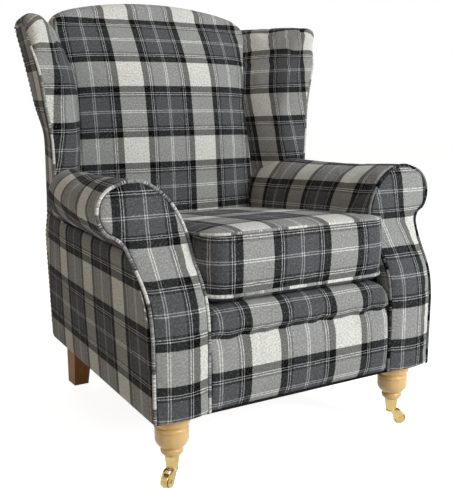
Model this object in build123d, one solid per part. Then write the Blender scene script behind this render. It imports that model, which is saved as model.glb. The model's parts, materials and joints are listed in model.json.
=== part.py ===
from build123d import *
import os
from math import cos, pi, sin

# A fireside chair: a hardwood frame with sprung seat, upholstered in fabric, on two turned
# front legs with castors and two square rear legs.
# Millimetres. X is across the chair, -Y is its front, Z is up, and Z = 0 is the floor.
# Sizes beside the chair's middle are given for its right-hand side, +X, and mirrored.

# --- the upholstered body -------------------------------------------------------------
FRONT_Y = -400.0               # front of the arm facings
BODY_BOTTOM = 160.0            # underside of the frame
SEAT_TOP = 388.0               # top of the sprung seat, where the cushion lies
BACK_BASE_Y = 300.0            # outside back at the underside of the frame
BACK_TOP_Y = 400.0             # outside back at its top edge
CREST = 1057.0                 # middle of the arched top
CREST_SIDE_X = 306.0           # the arch ends here, at the wings
CREST_RISE = 52.0              # height of the arch
BACK_TOP = CREST - CREST_RISE  # top edge of the outside back
SIDE_FRONT_X = 372.0           # side of the body, at the bottom, front and rear
SIDE_REAR_X = 340.0
WAIST_X = 329.0                # half the width of the outside back at the arms' crease
WAIST_START = 430.0            # height where the outside back begins to draw in
BACK_CORNER = (376.0, 30.0)    # where its arched top starts: half width, and depth below the top
GAP = 0.3                      # between pieces that lie on one another
PANEL = 8.0                    # outside panels: board, wadding and cover

# --- arms -----------------------------------------------------------------------------
ARM_INNER_X = 240.0            # inner face of the arm, and half the width between the facings
ARM_CREASE = 497.0             # where the roll meets the outside arm
FACING = 26.0                  # depth of the padded facing
FACING_HEIGHTS = (330.0, 400.0, 465.0, 545.0, ARM_CREASE + 203.0)  # where it starts to lean, and up
FACING_SETBACKS = (10.6, 42.0, 82.0, 100.0)           # how far it lies back at the last four
PIPING = 7.0                   # covered cord round the facings
PIPING_SEAM = 0.3
ARM_BEND = ARM_CREASE + 3.0    # top of the straight inner edge of the arm front
# The middle and end of each arc of the scroll: distance from the inner face, height over the crease
SCROLL = (((22.0, 76.0), (71.0, 128.0)), ((112.0, 144.0), (155.0, 137.0)),
          ((202.0, 87.0), (180.0, 32.0)))
SCROLL_TUCK = (159.0, 20.0)    # middle of the last arc, into the crease
ARM_HIP = (2.0, 400.0)         # the outer edge swells by this at this height
ARM_CREASE_FRONT_X = 388.0
ARM_CREASE_REAR_X = 359.0
ARM_SLAB = 28.0                # inside arm padding
ARM_PAD_INSETS = (2.0, 5.0)    # inside arm drawn in from the facing, at the front and rear
ROLL_TOPS = (138.0, 123.0)     # of the padded roll over the crease, at the front and rear
ROLL_SIDES = (437.0, 386.0)
ROLL_REAR_Y = 260.0
ROLL_TUCK = (4.0, 13.0)        # the crease lies inside the outside arm, front and rear
CREASE_LIFT = 3.0              # and above it
ROLL_UNDERSIDE = ARM_CREASE + 23.0
WING_FRONT_Y = 121.0           # front of the wing where it stands on the arm
WING_BASE = ARM_CREASE + 63.0

# --- wings: (height, front edge x, front edge y, rear corner x, crease x, crease y) -----
WING_BAND = 55.0               # thickness of the wing's padded front edge
WING_SECTIONS = (
    (WING_BASE, 372.0, 121.0, 325.0, 271.0, 236.0),
    (690.0, 377.0, 123.0, 320.0, 261.0, 248.0),
    (785.0, 388.0, 135.0, 341.0, 256.0, 262.0),
    (850.0, 398.0, 137.0, 352.0, 260.0, 271.0),
    (905.0, 412.0, 142.0, 362.0, 273.0, 294.0),
    (BACK_TOP + 1.0, 440.0, 158.0, 381.0, 300.0, 340.0),
)
WING_TOP_FRONT = BACK_TOP - 13.0  # top edge of the wing, behind its rounded corner and at the back
WING_TOP_REAR = BACK_TOP - 1.0
WING_CORNER = 40.0             # radius of the rounded corner
WING_CORNER_LEAN = 6.0         # the corner starts this far behind the last point of the edge

# --- inside back: (height, half width, crease y, middle y) -------------------------------
BACK_SECTIONS = (
    (SEAT_TOP + GAP, 268.0, 205.0, 196.0),
    (560.0, 271.0, 236.0, 204.0),
    (690.0, 261.0, 248.0, 212.0),
    (785.0, 256.0, 262.0, 226.0),
    (850.0, 260.0, 271.0, 238.0),
    (905.0, 273.0, 294.0, 262.0),
    (BACK_TOP + 1.0, 300.0, 340.0, 322.0),
    (CREST + 3.0, 306.0, 360.0, 345.0),
)

# --- front border ---------------------------------------------------------------------
BORDER_FRONT_Y = -394.0        # flat lower part
BORDER_CREASE = 317.0          # pull-in line under the roll
BORDER_CREASE_Y = -386.0
BORDER_ROLL = 54.0             # depth of the padded edge over the rail

# --- seat cushion ---------------------------------------------------------------------
CUSHION_HALF = 234.0
CUSHION_FRONT_Y = -392.0
CUSHION_REAR_Y = 190.0
CUSHION_SEAMS = (402.0, 532.0)  # heights of the two piped seams
CUSHION_CROWN = 560.0
CUSHION_BULGE = 5.0            # boxing between the seams
CUSHION_CORNER = 22.0
CUSHION_PIPING = 4.0           # radius
CUSHION_TURN_IN = 24.0         # the underside is this much smaller all round

# --- frame ----------------------------------------------------------------------------
BOARD = 28.0                   # thickness of the rails
RAIL_TOP = 330.0               # top of the front and back rails, under the springs
SIDE_RAIL_TOP = 262.0
SIDE_RAIL_EASE = 3.0           # clear of the outside arm where that draws in at the rear
POST_X = (290.0, 322.0)        # faces of the front post
POST_DEPTH = 56.0
ARM_RAIL = (ARM_CREASE + 55.0, ARM_CREASE + 81.0)  # underside and top of the arm rail
ARM_RAIL_FRONT = (314.0, 380.0)  # its two edges at the facing and at the upright
ARM_RAIL_REAR = (286.0, 320.0)
UPRIGHT_WIDTH = 36.0
UPRIGHT_DEPTH = 45.0
TACK_RAIL = (400.0, 445.0)
TOP_RAIL_PADDING = 42.0        # over the middle of the arched rail
TOP_RAIL_RISE = 47.0
TOP_RAIL_DEPTH = 38.0          # at the uprights
TOP_RAIL_SIDE = CREST - TOP_RAIL_PADDING - TOP_RAIL_RISE
TOP_RAIL_BOTTOM = TOP_RAIL_SIDE - TOP_RAIL_DEPTH
UPRIGHT_TOP = TOP_RAIL_SIDE + 17.0
STILE = 24.0                   # wing stile and wing rail are square in section
STILE_TOP = WING_TOP_FRONT - 37.0
STILE_SETBACK = 16.0           # padding in front of the stile
WING_RAIL_LAP = 9.6            # the wing rail passes the upright's outer face by this
STILE_INSET = 6.0              # further in than the middle of the padded edge
BLOCK_HEIGHT = 32.0            # corner blocks
BLOCK_LEG = 70.0
STRAP = (52.0, 2.0)            # width and thickness of the back webbing
STRAPS = 5
STRAP_SPAN = (480.0, 900.0)

# --- seat springs ---------------------------------------------------------------------
SPRINGS = 5
SPRING_PITCH = 92.0
SPRING_WIRE = 1.9
SPRING_TURN = 20.0             # radius of each bend
SPRING_STRAIGHT = 22.0
CLIP = (18.0, 12.0, 9.0)

# --- front legs -----------------------------------------------------------------------
LEG_X = 306.0
LEG_Y = -345.0
LEG_TIP = 17.2                 # radii of the turning, from the ferrule up
LEG_RING = 24.5
LEG_NECK = 22.0
LEG_BELLY = 36.0
LEG_COLLAR = 39.0
RING_HEIGHT = 77.0
BELLY_HEIGHTS = (107.0, 124.0)  # its straight part
SCRIBED_LINE = 1.0             # half as wide as deep, just under the belly's top
COLLAR_HEIGHT = 148.0
TOE = 46.0                     # bottom of the wood, inside the ferrule
FERRULE = (38.0, 66.0)         # bottom and top
FERRULE_RADII = (12.8, 16.2)
FERRULE_WALL = 1.5
FIT = 0.05                     # running fit
STUD_RADIUS = 4.0
STUD = (118.0, 196.0)
STUD_FIT = 0.1

# --- castors --------------------------------------------------------------------------
WHEEL_RADIUS = 15.0
WHEEL_WIDTH = 12.0
WHEEL_RIM = 2.5
TRAIL = 22.0                   # kingpin to wheel centre
AXLE_RADIUS = 2.5
AXLE_HEAD = (4.0, 1.4)
KINGPIN_RADIUS = 4.0
KINGPIN_HEAD = (6.0, 3.0)
KINGPIN_POCKET = (7.0, 8.0)
HORN_PLATE = (13.0, 4.6)       # radius and thickness under the ferrule
HORN_EDGE = 1.2                # rounding of the plate
CHEEK_RADIUS = 11.0            # ears around the axle
EAR = 4.2
EAR_GAP = 0.5
RIGHT_CASTOR_TURN = -31.0      # direction of each wheel from its kingpin, in degrees from +X
LEFT_CASTOR_TURN = -145.0

# --- rear legs ------------------------------------------------------------------------
REAR_LEG_TOP = ((245.0, 300.0), (236.0, 296.0))   # x and y of the faces under the frame
REAR_LEG_FOOT = ((235.0, 276.0), (311.0, 361.0))  # and on the floor

# --- dust cover -----------------------------------------------------------------------
DUST_COVER = 1.0
DUST_MARGIN = 9.0              # from the edge of the frame to the edge of the cloth
DUST_HOLE = 2.0                # clear of each leg

BACK_SLOPE = (BACK_TOP_Y - BACK_BASE_Y) / (BACK_TOP - BODY_BOTTOM)
FAR = 1200.0


# --- drawing helpers --------------------------------------------------------------------
def outline(start, *steps):
    """A closed face. A step is a point, for a line, or a middle and an end, for an arc."""
    edges = []
    here = start
    for step in steps:
        if isinstance(step[0], tuple):
            edges.append(ThreePointArc(here, step[0], step[1]))
            here = step[1]
        else:
            edges.append(Line(here, step))
            here = step
    edges.append(Line(here, start))
    return make_face(edges)


def along_x(face, low, high):
    """A prism from a (y, z) face."""
    return extrude(Plane.YZ.offset(low) * face, high - low)


def along_y(face, low, high):
    """A prism from an (x, z) face."""
    plane = Plane(origin=(0, high, 0), x_dir=(1, 0, 0), z_dir=(0, -1, 0))
    return extrude(plane * face, high - low)


def along_z(face, low, high):
    """A prism from an (x, y) face."""
    return extrude(Plane.XY.offset(low) * face, high - low)


def block(x, y, z):
    """A box from its low and high values on each axis."""
    face = outline((x[0], z[0]), (x[1], z[0]), (x[1], z[1]), (x[0], z[1]))
    return along_y(face, y[0], y[1])


def tapered(sections):
    """A solid ruled through (height, face) pairs."""
    return loft([Plane.XY.offset(height) * face for height, face in sections], ruled=True)


def mirrored(solid):
    """The same piece on the other side of the chair."""
    return mirror(solid, about=Plane.YZ)


def both(solid):
    """The piece and its mirror image, as one node's solids."""
    return Compound(children=[*solid.solids(), *mirrored(solid).solids()])


# --- surfaces that several pieces share ---------------------------------------------------
def back_y(height):
    """The outside back, which leans away from the seat."""
    return BACK_BASE_Y + BACK_SLOPE * (height - BODY_BOTTOM)


def side_x(y):
    """The side of the body along its bottom edge."""
    share = (y - FRONT_Y) / (BACK_BASE_Y - FRONT_Y)
    return SIDE_FRONT_X + share * (SIDE_REAR_X - SIDE_FRONT_X)


def raked_slab(front, rear, low=BODY_BOTTOM, high=CREST + PANEL):
    """Everything between two depths in front of the outside back."""
    face = outline((back_y(low) - front, low), (back_y(low) - rear, low),
                   (back_y(high) - rear, high), (back_y(high) - front, high))
    return along_x(face, -FAR, FAR)


def raked_board(x, z, front, rear):
    """A board that leans with the back."""
    slab = raked_slab(front, rear, z[0], z[1])
    return slab & block(x, (-FAR, FAR), z)


def facing_face(shift, depth):
    """The (y, z) profile of the curved front, moved back by shift."""
    low = FRONT_Y + shift
    bend, hip, neck, shoulder, top = FACING_HEIGHTS
    hip_back, neck_back, shoulder_back, top_back = FACING_SETBACKS
    return outline((low, BODY_BOTTOM), (low, bend),
                   ((low + hip_back, hip), (low + neck_back, neck)),
                   ((low + shoulder_back, shoulder), (low + top_back, top)),
                   (low + top_back + depth, top),
                   ((low + shoulder_back + depth, shoulder), (low + neck_back + depth, neck)),
                   ((low + hip_back + depth, hip), (low + depth, bend)),
                   (low + depth, BODY_BOTTOM))


def facing_outline():
    """The (x, z) outline of the scrolled arm front."""
    inner = ARM_INNER_X

    def placed(point):
        return inner + point[0], ARM_CREASE + point[1]

    arcs = [(placed(middle), placed(last)) for middle, last in SCROLL]
    tuck = (placed(SCROLL_TUCK), (ARM_CREASE_FRONT_X, ARM_CREASE - CREASE_LIFT))
    hip = (SIDE_FRONT_X + ARM_HIP[0], ARM_HIP[1])
    return outline((inner, BODY_BOTTOM), (inner, ARM_BEND), *arcs, tuck, hip, (SIDE_FRONT_X, BODY_BOTTOM))


# --- frame --------------------------------------------------------------------------------
def front_rail():
    rear = FRONT_Y + FACING + GAP + BOARD
    return block((-POST_X[0], POST_X[0]), (rear - BOARD, rear), (BODY_BOTTOM, RAIL_TOP))


def stud(place, fit=0.0):
    """A threaded stud from a leg up into the frame, or with a fit, its hole."""
    return Pos(*place, (STUD[0] + STUD[1]) / 2) * Cylinder(STUD_RADIUS + fit, STUD[1] - STUD[0])


def front_post():
    """A sawn board that follows the facing, from the leg to the arm rail."""
    board = along_x(facing_face(FACING + GAP, POST_DEPTH), POST_X[0], POST_X[1])
    board = board & block(POST_X, (-FAR, FAR), (BODY_BOTTOM, ARM_RAIL[0]))
    return board - stud((LEG_X, LEG_Y), STUD_FIT)


def upright_x():
    """Inner and outer face of the back upright, which the side rail laps."""
    outer = side_x(BACK_BASE_Y) - PANEL - GAP - SIDE_RAIL_EASE - BOARD
    return (outer - UPRIGHT_WIDTH, outer)


def rear_stud_place():
    """Over each rear leg, in the middle of the upright's foot."""
    return sum(upright_x()) / 2, back_y(BODY_BOTTOM) - PANEL - GAP - UPRIGHT_DEPTH / 2


def back_upright():
    skin = PANEL + GAP
    board = raked_board(upright_x(), (BODY_BOTTOM, UPRIGHT_TOP), skin + UPRIGHT_DEPTH, skin)
    return board - stud(rear_stud_place(), STUD_FIT)


def side_rail():
    """Runs from the front post to the rear, just inside the outside panel."""
    inset = PANEL + GAP
    front, rear = FRONT_Y + FACING + GAP + POST_DEPTH, BACK_BASE_Y - inset
    start, end = side_x(front) - inset, side_x(rear) - inset - SIDE_RAIL_EASE
    plan = outline((start - BOARD, front), (start, front), (end, rear), (end - BOARD, rear))
    return along_z(plan, BODY_BOTTOM, SIDE_RAIL_TOP)


def back_rail():
    inner = upright_x()[0]
    return raked_board((-inner, inner), (BODY_BOTTOM, RAIL_TOP), PANEL + GAP + BOARD, PANEL + GAP)


def tack_rail():
    inner = upright_x()[0]
    front = PANEL + GAP + UPRIGHT_DEPTH
    return raked_board((-inner, inner), TACK_RAIL, front, front - BOARD)


def top_rail_outline(extra=0.0, half=None):
    """The arched (x, z) outline of the top rail, raised by extra."""
    half = half or upright_x()[0]
    side, middle = TOP_RAIL_SIDE + extra, TOP_RAIL_SIDE + TOP_RAIL_RISE + extra
    return outline((-half, TOP_RAIL_BOTTOM), (-half, side), ((0.0, middle), (half, side)),
                   (half, TOP_RAIL_BOTTOM))


def top_rail():
    arch = along_y(top_rail_outline(), 0.0, FAR)
    front = PANEL + GAP + UPRIGHT_DEPTH
    return arch & raked_slab(front, front - BOARD)


def facing_rear_at(height):
    """The back of the facing, as a y, at the arm rail."""
    strip = along_x(facing_face(0.0, FACING), 0.0, 1.0) & block((0.0, 1.0), (-FAR, FAR), height)
    return strip.bounding_box().max.Y


def arm_rail(grow=0.0):
    """From behind the facing to the back upright, on the post."""
    front = facing_rear_at(ARM_RAIL) + GAP - grow
    rear = back_y(ARM_RAIL[0]) - PANEL - GAP - UPRIGHT_DEPTH + grow
    plan = outline((ARM_RAIL_FRONT[0] - grow, front), (ARM_RAIL_FRONT[1] + grow, front),
                   (ARM_RAIL_REAR[1] + grow, rear), (ARM_RAIL_REAR[0] - grow, rear))
    return along_z(plan, ARM_RAIL[0] - grow, ARM_RAIL[1] + grow)


def square_at(x, y, grow):
    half = STILE / 2 + grow
    return outline((x - half, y - half), (x + half, y - half), (x + half, y + half), (x - half, y + half))


def stile_centre(height):
    """The middle of the wing stile at a height, from the two wing sections around it."""
    for low, high in zip(WING_SECTIONS, WING_SECTIONS[1:]):
        if low[0] <= height <= high[0]:
            share = (height - low[0]) / (high[0] - low[0])
            x = low[1] + share * (high[1] - low[1])
            y = low[2] + share * (high[2] - low[2])
            return x - WING_BAND / 2 - STILE_INSET, y + STILE_SETBACK + STILE / 2


def wing_stile(grow=0.0):
    """Stands on the arm rail and leans out with the wing."""
    between = [section[0] for section in WING_SECTIONS if ARM_RAIL[1] < section[0] < STILE_TOP - STILE]
    heights = [ARM_RAIL[1], *between, STILE_TOP + grow]
    return tapered([(h, square_at(*stile_centre(h), grow)) for h in heights])


def wing_rail(grow=0.0):
    """From the top of the wing stile back to the upright."""
    x = stile_centre(STILE_TOP - STILE)[0]
    y = stile_centre(STILE_TOP)[1]
    half = STILE / 2 + grow
    start = y + STILE / 2 + GAP - grow
    end = back_y(STILE_TOP - STILE) - PANEL - GAP - UPRIGHT_DEPTH - GAP + grow
    outer = upright_x()[1]
    plan = outline((x - half, start), (x + half, start),
                   (outer + WING_RAIL_LAP + grow, end), (outer + WING_RAIL_LAP - STILE - grow, end))
    return along_z(plan, STILE_TOP - STILE - grow, STILE_TOP + grow)


def corner_blocks():
    """Triangular blocks glued into the four lower corners of the seat frame."""
    low, high = BODY_BOTTOM, BODY_BOTTOM + BLOCK_HEIGHT
    front, rear = FRONT_Y + FACING + GAP + BOARD, back_y(BODY_BOTTOM) - PANEL - GAP - BOARD
    x, back_x = POST_X[0], upright_x()[0]
    fore = along_z(outline((x, front), (x - BLOCK_LEG, front), (x, front + BLOCK_LEG)), low, high)
    fore = fore & block((0.0, x), (front, FRONT_Y + FACING + GAP + POST_DEPTH), (low, high))
    aft = along_z(outline((back_x, rear), (back_x - BLOCK_LEG, rear), (back_x, rear - BLOCK_LEG)), low, high)
    return both(Compound(children=[*fore.solids(), *aft.solids()]))


def back_webbing():
    """Straps across the front of the uprights."""
    width, thick = STRAP
    front = PANEL + GAP + UPRIGHT_DEPTH
    outer = upright_x()[1]
    step = (STRAP_SPAN[1] - STRAP_SPAN[0] - width) / (STRAPS - 1)
    straps = []
    for index in range(STRAPS):
        low = STRAP_SPAN[0] + index * step
        straps.append(raked_board((-outer, outer), (low, low + width), front + thick, front))
    return Compound(children=[s for strap in straps for s in strap.solids()])


# --- seat springs -------------------------------------------------------------------------
def spring_height():
    return RAIL_TOP + CLIP[2] / 2


def spring_ends():
    """The y of the first and last straight, over the middle of the front and back rails."""
    front = FRONT_Y + FACING + GAP + BOARD / 2
    rear = back_y(RAIL_TOP) - PANEL - GAP - BOARD / 2
    return front, rear


def spring_path(x):
    """A flat zigzag of straights and half turns from rail to rail."""
    front, rear = spring_ends()
    turns = round((rear - front) / (2 * SPRING_TURN))
    radius = (rear - front) / turns / 2
    height, half = spring_height(), SPRING_STRAIGHT / 2
    edges = []
    side = 1
    for index in range(turns + 1):
        y = front + 2 * radius * index
        edges.append(Line((x - side * half, y, height), (x + side * half, y, height)))
        if index < turns:
            edges.append(ThreePointArc((x + side * half, y, height),
                                       (x + side * (half + radius), y + radius, height),
                                       (x + side * half, y + 2 * radius, height)))
        side = -side
    return Wire(edges)


def spring_places():
    return [SPRING_PITCH * (index - (SPRINGS - 1) / 2) for index in range(SPRINGS)]


def seat_springs():
    springs = []
    for x in spring_places():
        path = spring_path(x)
        springs.append(sweep(Plane(origin=path @ 0, z_dir=path % 0) * Circle(SPRING_WIRE), path=path))
    return Compound(children=[s for spring in springs for s in spring.solids()])


def spring_clips():
    """Each holds a spring's end on top of a rail."""
    width, depth, height = CLIP
    clips = []
    for x in spring_places():
        for y in spring_ends():
            body = Box(width, depth, height)
            hole = Rot(0, 90, 0) * Cylinder(SPRING_WIRE + GAP / 2, width * 2)
            clips.append(Pos(x, y, spring_height()) * (body - hole))
    return Compound(children=[s for clip in clips for s in clip.solids()])


# --- upholstery ---------------------------------------------------------------------------
def front_border():
    """Padding over the front rail, with a roll at its top edge."""
    back, under = FRONT_Y + FACING, RAIL_TOP + CLIP[2] + 2.0
    roll_front = FRONT_Y + GAP
    face = outline((back, BODY_BOTTOM), (BORDER_FRONT_Y, BODY_BOTTOM),
                   (BORDER_FRONT_Y, BORDER_CREASE - 16.0), (BORDER_CREASE_Y, BORDER_CREASE),
                   ((roll_front, (BORDER_CREASE + SEAT_TOP) / 2), (BORDER_CREASE_Y + 6.0, SEAT_TOP - 2.0)),
                   (BORDER_CREASE_Y + 14.0, SEAT_TOP), (back + BORDER_ROLL, SEAT_TOP),
                   (back + BORDER_ROLL, under), (back, under))
    return along_x(face, -ARM_INNER_X + GAP, ARM_INNER_X - GAP)


def seat_deck():
    """Felt and hessian over the springs."""
    under = RAIL_TOP + CLIP[2] + 2.0
    front = FRONT_Y + FACING + BORDER_ROLL + GAP
    rear = back_y(under) - PANEL - GAP - UPRIGHT_DEPTH - STRAP[1] - 2 * GAP
    half = ARM_INNER_X - GAP
    return block((-half, half), (front, rear), (under, SEAT_TOP))


def cushion_form(low, seams, high):
    """A box cushion: crowned top and bottom, and boxing that swells between its seams."""
    half, bulge, turn_in = CUSHION_HALF, CUSHION_BULGE, CUSHION_TURN_IN
    middle = (seams[0] + seams[1]) / 2
    front, rear = CUSHION_FRONT_Y, CUSHION_REAR_Y
    centre = (front + rear) / 2
    across = outline((-half, seams[0]), ((-half - bulge, middle), (-half, seams[1])),
                     ((0.0, high), (half, seams[1])), ((half + bulge, middle), (half, seams[0])),
                     (half - turn_in, low), (-half + turn_in, low))
    along = outline((front, seams[0]), ((front - bulge, middle), (front, seams[1])),
                    ((centre, high), (rear, seams[1])), ((rear + bulge, middle), (rear, seams[0])),
                    (rear - turn_in, low), (front + turn_in, low))
    return along_y(across, front - bulge * 2, rear + bulge * 2) & along_x(along, -FAR, FAR)


def cushion_plan(grow):
    width = 2 * (CUSHION_HALF + grow)
    depth = CUSHION_REAR_Y - CUSHION_FRONT_Y + 2 * grow
    middle = (CUSHION_REAR_Y + CUSHION_FRONT_Y) / 2
    return Pos(0, middle) * RectangleRounded(width, depth, CUSHION_CORNER + grow)


def cushion_piping(height, radius=CUSHION_PIPING):
    """A covered cord round the cushion at one seam."""
    plan = Plane.XY.offset(height) * cushion_plan(-CUSHION_PIPING / 2)
    path = plan.wire()
    start = Plane(origin=path @ 0, z_dir=path % 0)
    return sweep(start * Circle(radius), path=path)


def seat_cushion():
    low = SEAT_TOP + GAP
    form = cushion_form(low, CUSHION_SEAMS, CUSHION_CROWN)
    form = form & along_z(cushion_plan(CUSHION_BULGE), low, CUSHION_CROWN)
    for height in CUSHION_SEAMS:
        form = form - cushion_piping(height, CUSHION_PIPING + GAP / 2)
    return form


def arm_facing():
    """The padded scroll front, inside its piping."""
    pad = along_y(offset(facing_outline(), -PIPING - PIPING_SEAM), -FAR, FAR)
    return pad & along_x(facing_face(0.0, FACING), 0.0, FAR)


def facing_piping():
    ring = facing_outline() - offset(facing_outline(), -PIPING)
    return along_y(ring, -FAR, FAR) & along_x(facing_face(0.0, PIPING), 0.0, FAR)


def arm_section(end):
    """The (x, z) section of the roll and the inside arm below it, at end 0, the front, or 1.

    Above the crease it is the scroll, made as wide and as high as the roll is there.
    """
    inner = ARM_INNER_X + ARM_PAD_INSETS[end]
    scroll_width, scroll_top = SCROLL[2][0][0], SCROLL[1][0][1]
    wide = (ROLL_SIDES[end] - inner) / scroll_width
    high = ROLL_TOPS[end] / scroll_top

    def placed(point):
        return inner + wide * point[0], ARM_CREASE + high * point[1]

    arcs = [(placed(middle), placed(last)) for middle, last in SCROLL]
    crease = (ARM_CREASE_FRONT_X, ARM_CREASE_REAR_X)[end] - ROLL_TUCK[end]
    slab, bottom = inner + ARM_SLAB, RAIL_TOP + GAP
    return outline((inner, bottom), placed((0.0, ARM_BEND - ARM_CREASE)), *arcs,
                   (placed(SCROLL_TUCK), (crease, ARM_CREASE + CREASE_LIFT)),
                   (slab, ROLL_UNDERSIDE), (slab, bottom))


def arm_pad():
    """The inside arm and its roll, over the post and the arm rail."""
    sections = []
    for end, y in enumerate((FRONT_Y, ROLL_REAR_Y)):
        sections.append(Plane(origin=(0, y, 0), x_dir=(1, 0, 0), z_dir=(0, -1, 0)) * arm_section(end))
    form = loft(sections, ruled=True)
    form = form & along_x(facing_face(FACING + GAP, FAR), 0.0, FAR)
    form = form - block((0.0, FAR), (WING_FRONT_Y - GAP, FAR), (WING_BASE - GAP, FAR))
    form = form - block((ARM_INNER_X + ARM_SLAB, FAR), (WING_FRONT_Y - GAP, FAR), (0.0, FAR))
    crease = BACK_SECTIONS[0][3] - GAP
    form = form & block((0.0, FAR), (-FAR, crease), (0.0, FAR))
    post = along_x(facing_face(FACING, POST_DEPTH + 2 * GAP), POST_X[0] - GAP, POST_X[1] + GAP)
    post = post & block((0.0, FAR), (-FAR, FAR), (0.0, ARM_RAIL[0] + GAP))
    return form - post - arm_rail(GAP)


def outside_arm():
    """From the facing to the back, under the roll."""
    low = [(side_x(FRONT_Y), FRONT_Y), (side_x(WING_FRONT_Y), WING_FRONT_Y), (SIDE_REAR_X, BACK_BASE_Y)]
    high = [(ARM_CREASE_FRONT_X, FRONT_Y), (ARM_CREASE_REAR_X, WING_FRONT_Y), (WAIST_X, back_y(ARM_CREASE))]
    sections = []
    for height, points in ((BODY_BOTTOM, low), (ARM_CREASE - GAP, high)):
        inner = [(x - PANEL, y) for x, y in reversed(points)]
        sections.append((height, outline(points[0], *points[1:], *inner)))
    form = tapered(sections)
    form = form & along_x(facing_face(FACING + GAP, FAR), 0.0, FAR)
    return form & raked_slab(FAR, PANEL + GAP)


def below_top(sections, top):
    """The sections lower than the last one and than top, with the last one after them."""
    return [*(section for section in sections[:-1] if section[0] < top), sections[-1]]


def wing_sections():
    return below_top(WING_SECTIONS, WING_TOP_FRONT - WING_CORNER)


def wing_profile():
    """The (y, z) shape of the wing: front edge, rounded corner and top."""
    edge = [(section[2], section[0]) for section in wing_sections()[:-1]]
    corner_y = edge[-1][0] + WING_CORNER_LEAN
    low = WING_TOP_FRONT - WING_CORNER
    radius = WING_CORNER
    knee = (corner_y + radius * (1 - cos(pi / 4)), low + radius * sin(pi / 4))
    return outline(edge[0], *edge[1:], (corner_y, low), (knee, (corner_y + radius, WING_TOP_FRONT)),
                   (BACK_TOP_Y, WING_TOP_REAR), (BACK_TOP_Y, edge[0][1]))


def wing_pad():
    """Inside wing and padded front edge, over the wing's stile and rail."""
    sections = []
    for height, x, y, rear_x, crease_x, crease_y in wing_sections():
        skin = PANEL + GAP
        rear = back_y(height) - skin
        face = outline((x - skin, y), (rear_x - skin, rear), (crease_x + GAP, rear),
                       (crease_x + GAP, crease_y), (x - WING_BAND, y + 4.0))
        sections.append((height, face))
    form = tapered(sections) & along_x(wing_profile(), 0.0, FAR)
    upright = raked_board((0.0, upright_x()[1] + GAP), (BODY_BOTTOM, UPRIGHT_TOP + GAP),
                          PANEL + 2 * GAP + UPRIGHT_DEPTH + STRAP[1], 0.0)
    return form - arm_rail(GAP) - wing_stile(GAP) - wing_rail(GAP) - upright


def outside_wing():
    """The outer face of the wing, from the arm's crease to the top."""
    first = (ARM_CREASE, ARM_CREASE_REAR_X, WING_FRONT_Y, WAIST_X)
    sections = []
    for height, x, y, rear_x in (first, *(section[:4] for section in wing_sections())):
        rear = back_y(height) - PANEL - GAP
        face = outline((x, y), (rear_x, rear), (rear_x - PANEL, rear), (x - PANEL, y))
        sections.append((height, face))
    top = along_x(wing_profile(), 0.0, FAR)
    top = top + block((0.0, FAR), (WING_FRONT_Y, BACK_TOP_Y), (ARM_CREASE, WING_BASE))
    return tapered(sections) & top


def crest_outline():
    """The arched (x, z) shape of the top of the back."""
    half, side = CREST_SIDE_X, CREST - CREST_RISE
    return outline((-half, 0.0), (-half, side), ((0.0, CREST), (half, side)), (half, 0.0))


def inside_back():
    """The padded back between the wings, rolled over the top rail."""
    sections = []
    for height, half, crease_y, middle_y in below_top(BACK_SECTIONS, CREST):
        rear = back_y(height) - PANEL - GAP
        half = half - GAP
        face = outline((-half, rear), (-half, crease_y), ((0.0, middle_y), (half, crease_y)), (half, rear))
        sections.append((height, face))
    form = tapered(sections) & along_y(crest_outline(), -FAR, FAR)
    hollow = raked_slab(PANEL + 2 * GAP + UPRIGHT_DEPTH + STRAP[1], 0.0, 0.0)
    arch = along_y(top_rail_outline(GAP, FAR / 2), -FAR, FAR)
    return form - (hollow & (arch + block((-FAR, FAR), (-FAR, FAR), (0.0, TOP_RAIL_BOTTOM))))


def outside_back():
    """The flat back panel, as wide as the body and wings are at the rear."""
    points = [(SIDE_REAR_X, BODY_BOTTOM), (SIDE_REAR_X, WAIST_START), (WAIST_X, ARM_CREASE)]
    shoulder = BACK_TOP - BACK_CORNER[1]
    points += [(section[3], section[0]) for section in WING_SECTIONS[1:-1] if section[0] < shoulder]
    points += [(BACK_CORNER[0], shoulder)]
    left = [(-x, z) for x, z in points]
    face = outline(left[0], *left[1:], ((0.0, BACK_TOP), points[-1]), *reversed(points[:-1]))
    return along_y(face, -FAR, FAR) & raked_slab(PANEL, 0.0)


def dust_cover():
    """Thin cloth under the frame, cut round the legs."""
    half_front, half_rear = side_x(FRONT_Y) - DUST_MARGIN, SIDE_REAR_X - DUST_MARGIN
    front, rear = FRONT_Y + DUST_MARGIN, BACK_BASE_Y - DUST_MARGIN
    plan = outline((-half_front, front), (half_front, front), (half_rear, rear), (-half_rear, rear))
    low, high = BODY_BOTTOM - DUST_COVER - GAP, BODY_BOTTOM - GAP
    cloth = along_z(plan, low, high)
    (x0, x1), (y0, y1) = REAR_LEG_TOP
    holes = Pos(LEG_X, LEG_Y, BODY_BOTTOM) * Cylinder(LEG_COLLAR + DUST_HOLE, 20 * DUST_COVER)
    holes = holes + block((x0 - DUST_HOLE, x1 + DUST_HOLE), (y0 - DUST_HOLE, y1 + DUST_HOLE), (low, high))
    return cloth - holes - mirrored(holes)


# --- legs and castors ---------------------------------------------------------------------
def ferrule_radius(height):
    share = (height - FERRULE[0]) / (FERRULE[1] - FERRULE[0])
    return FERRULE_RADII[0] + share * (FERRULE_RADII[1] - FERRULE_RADII[0])


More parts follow.
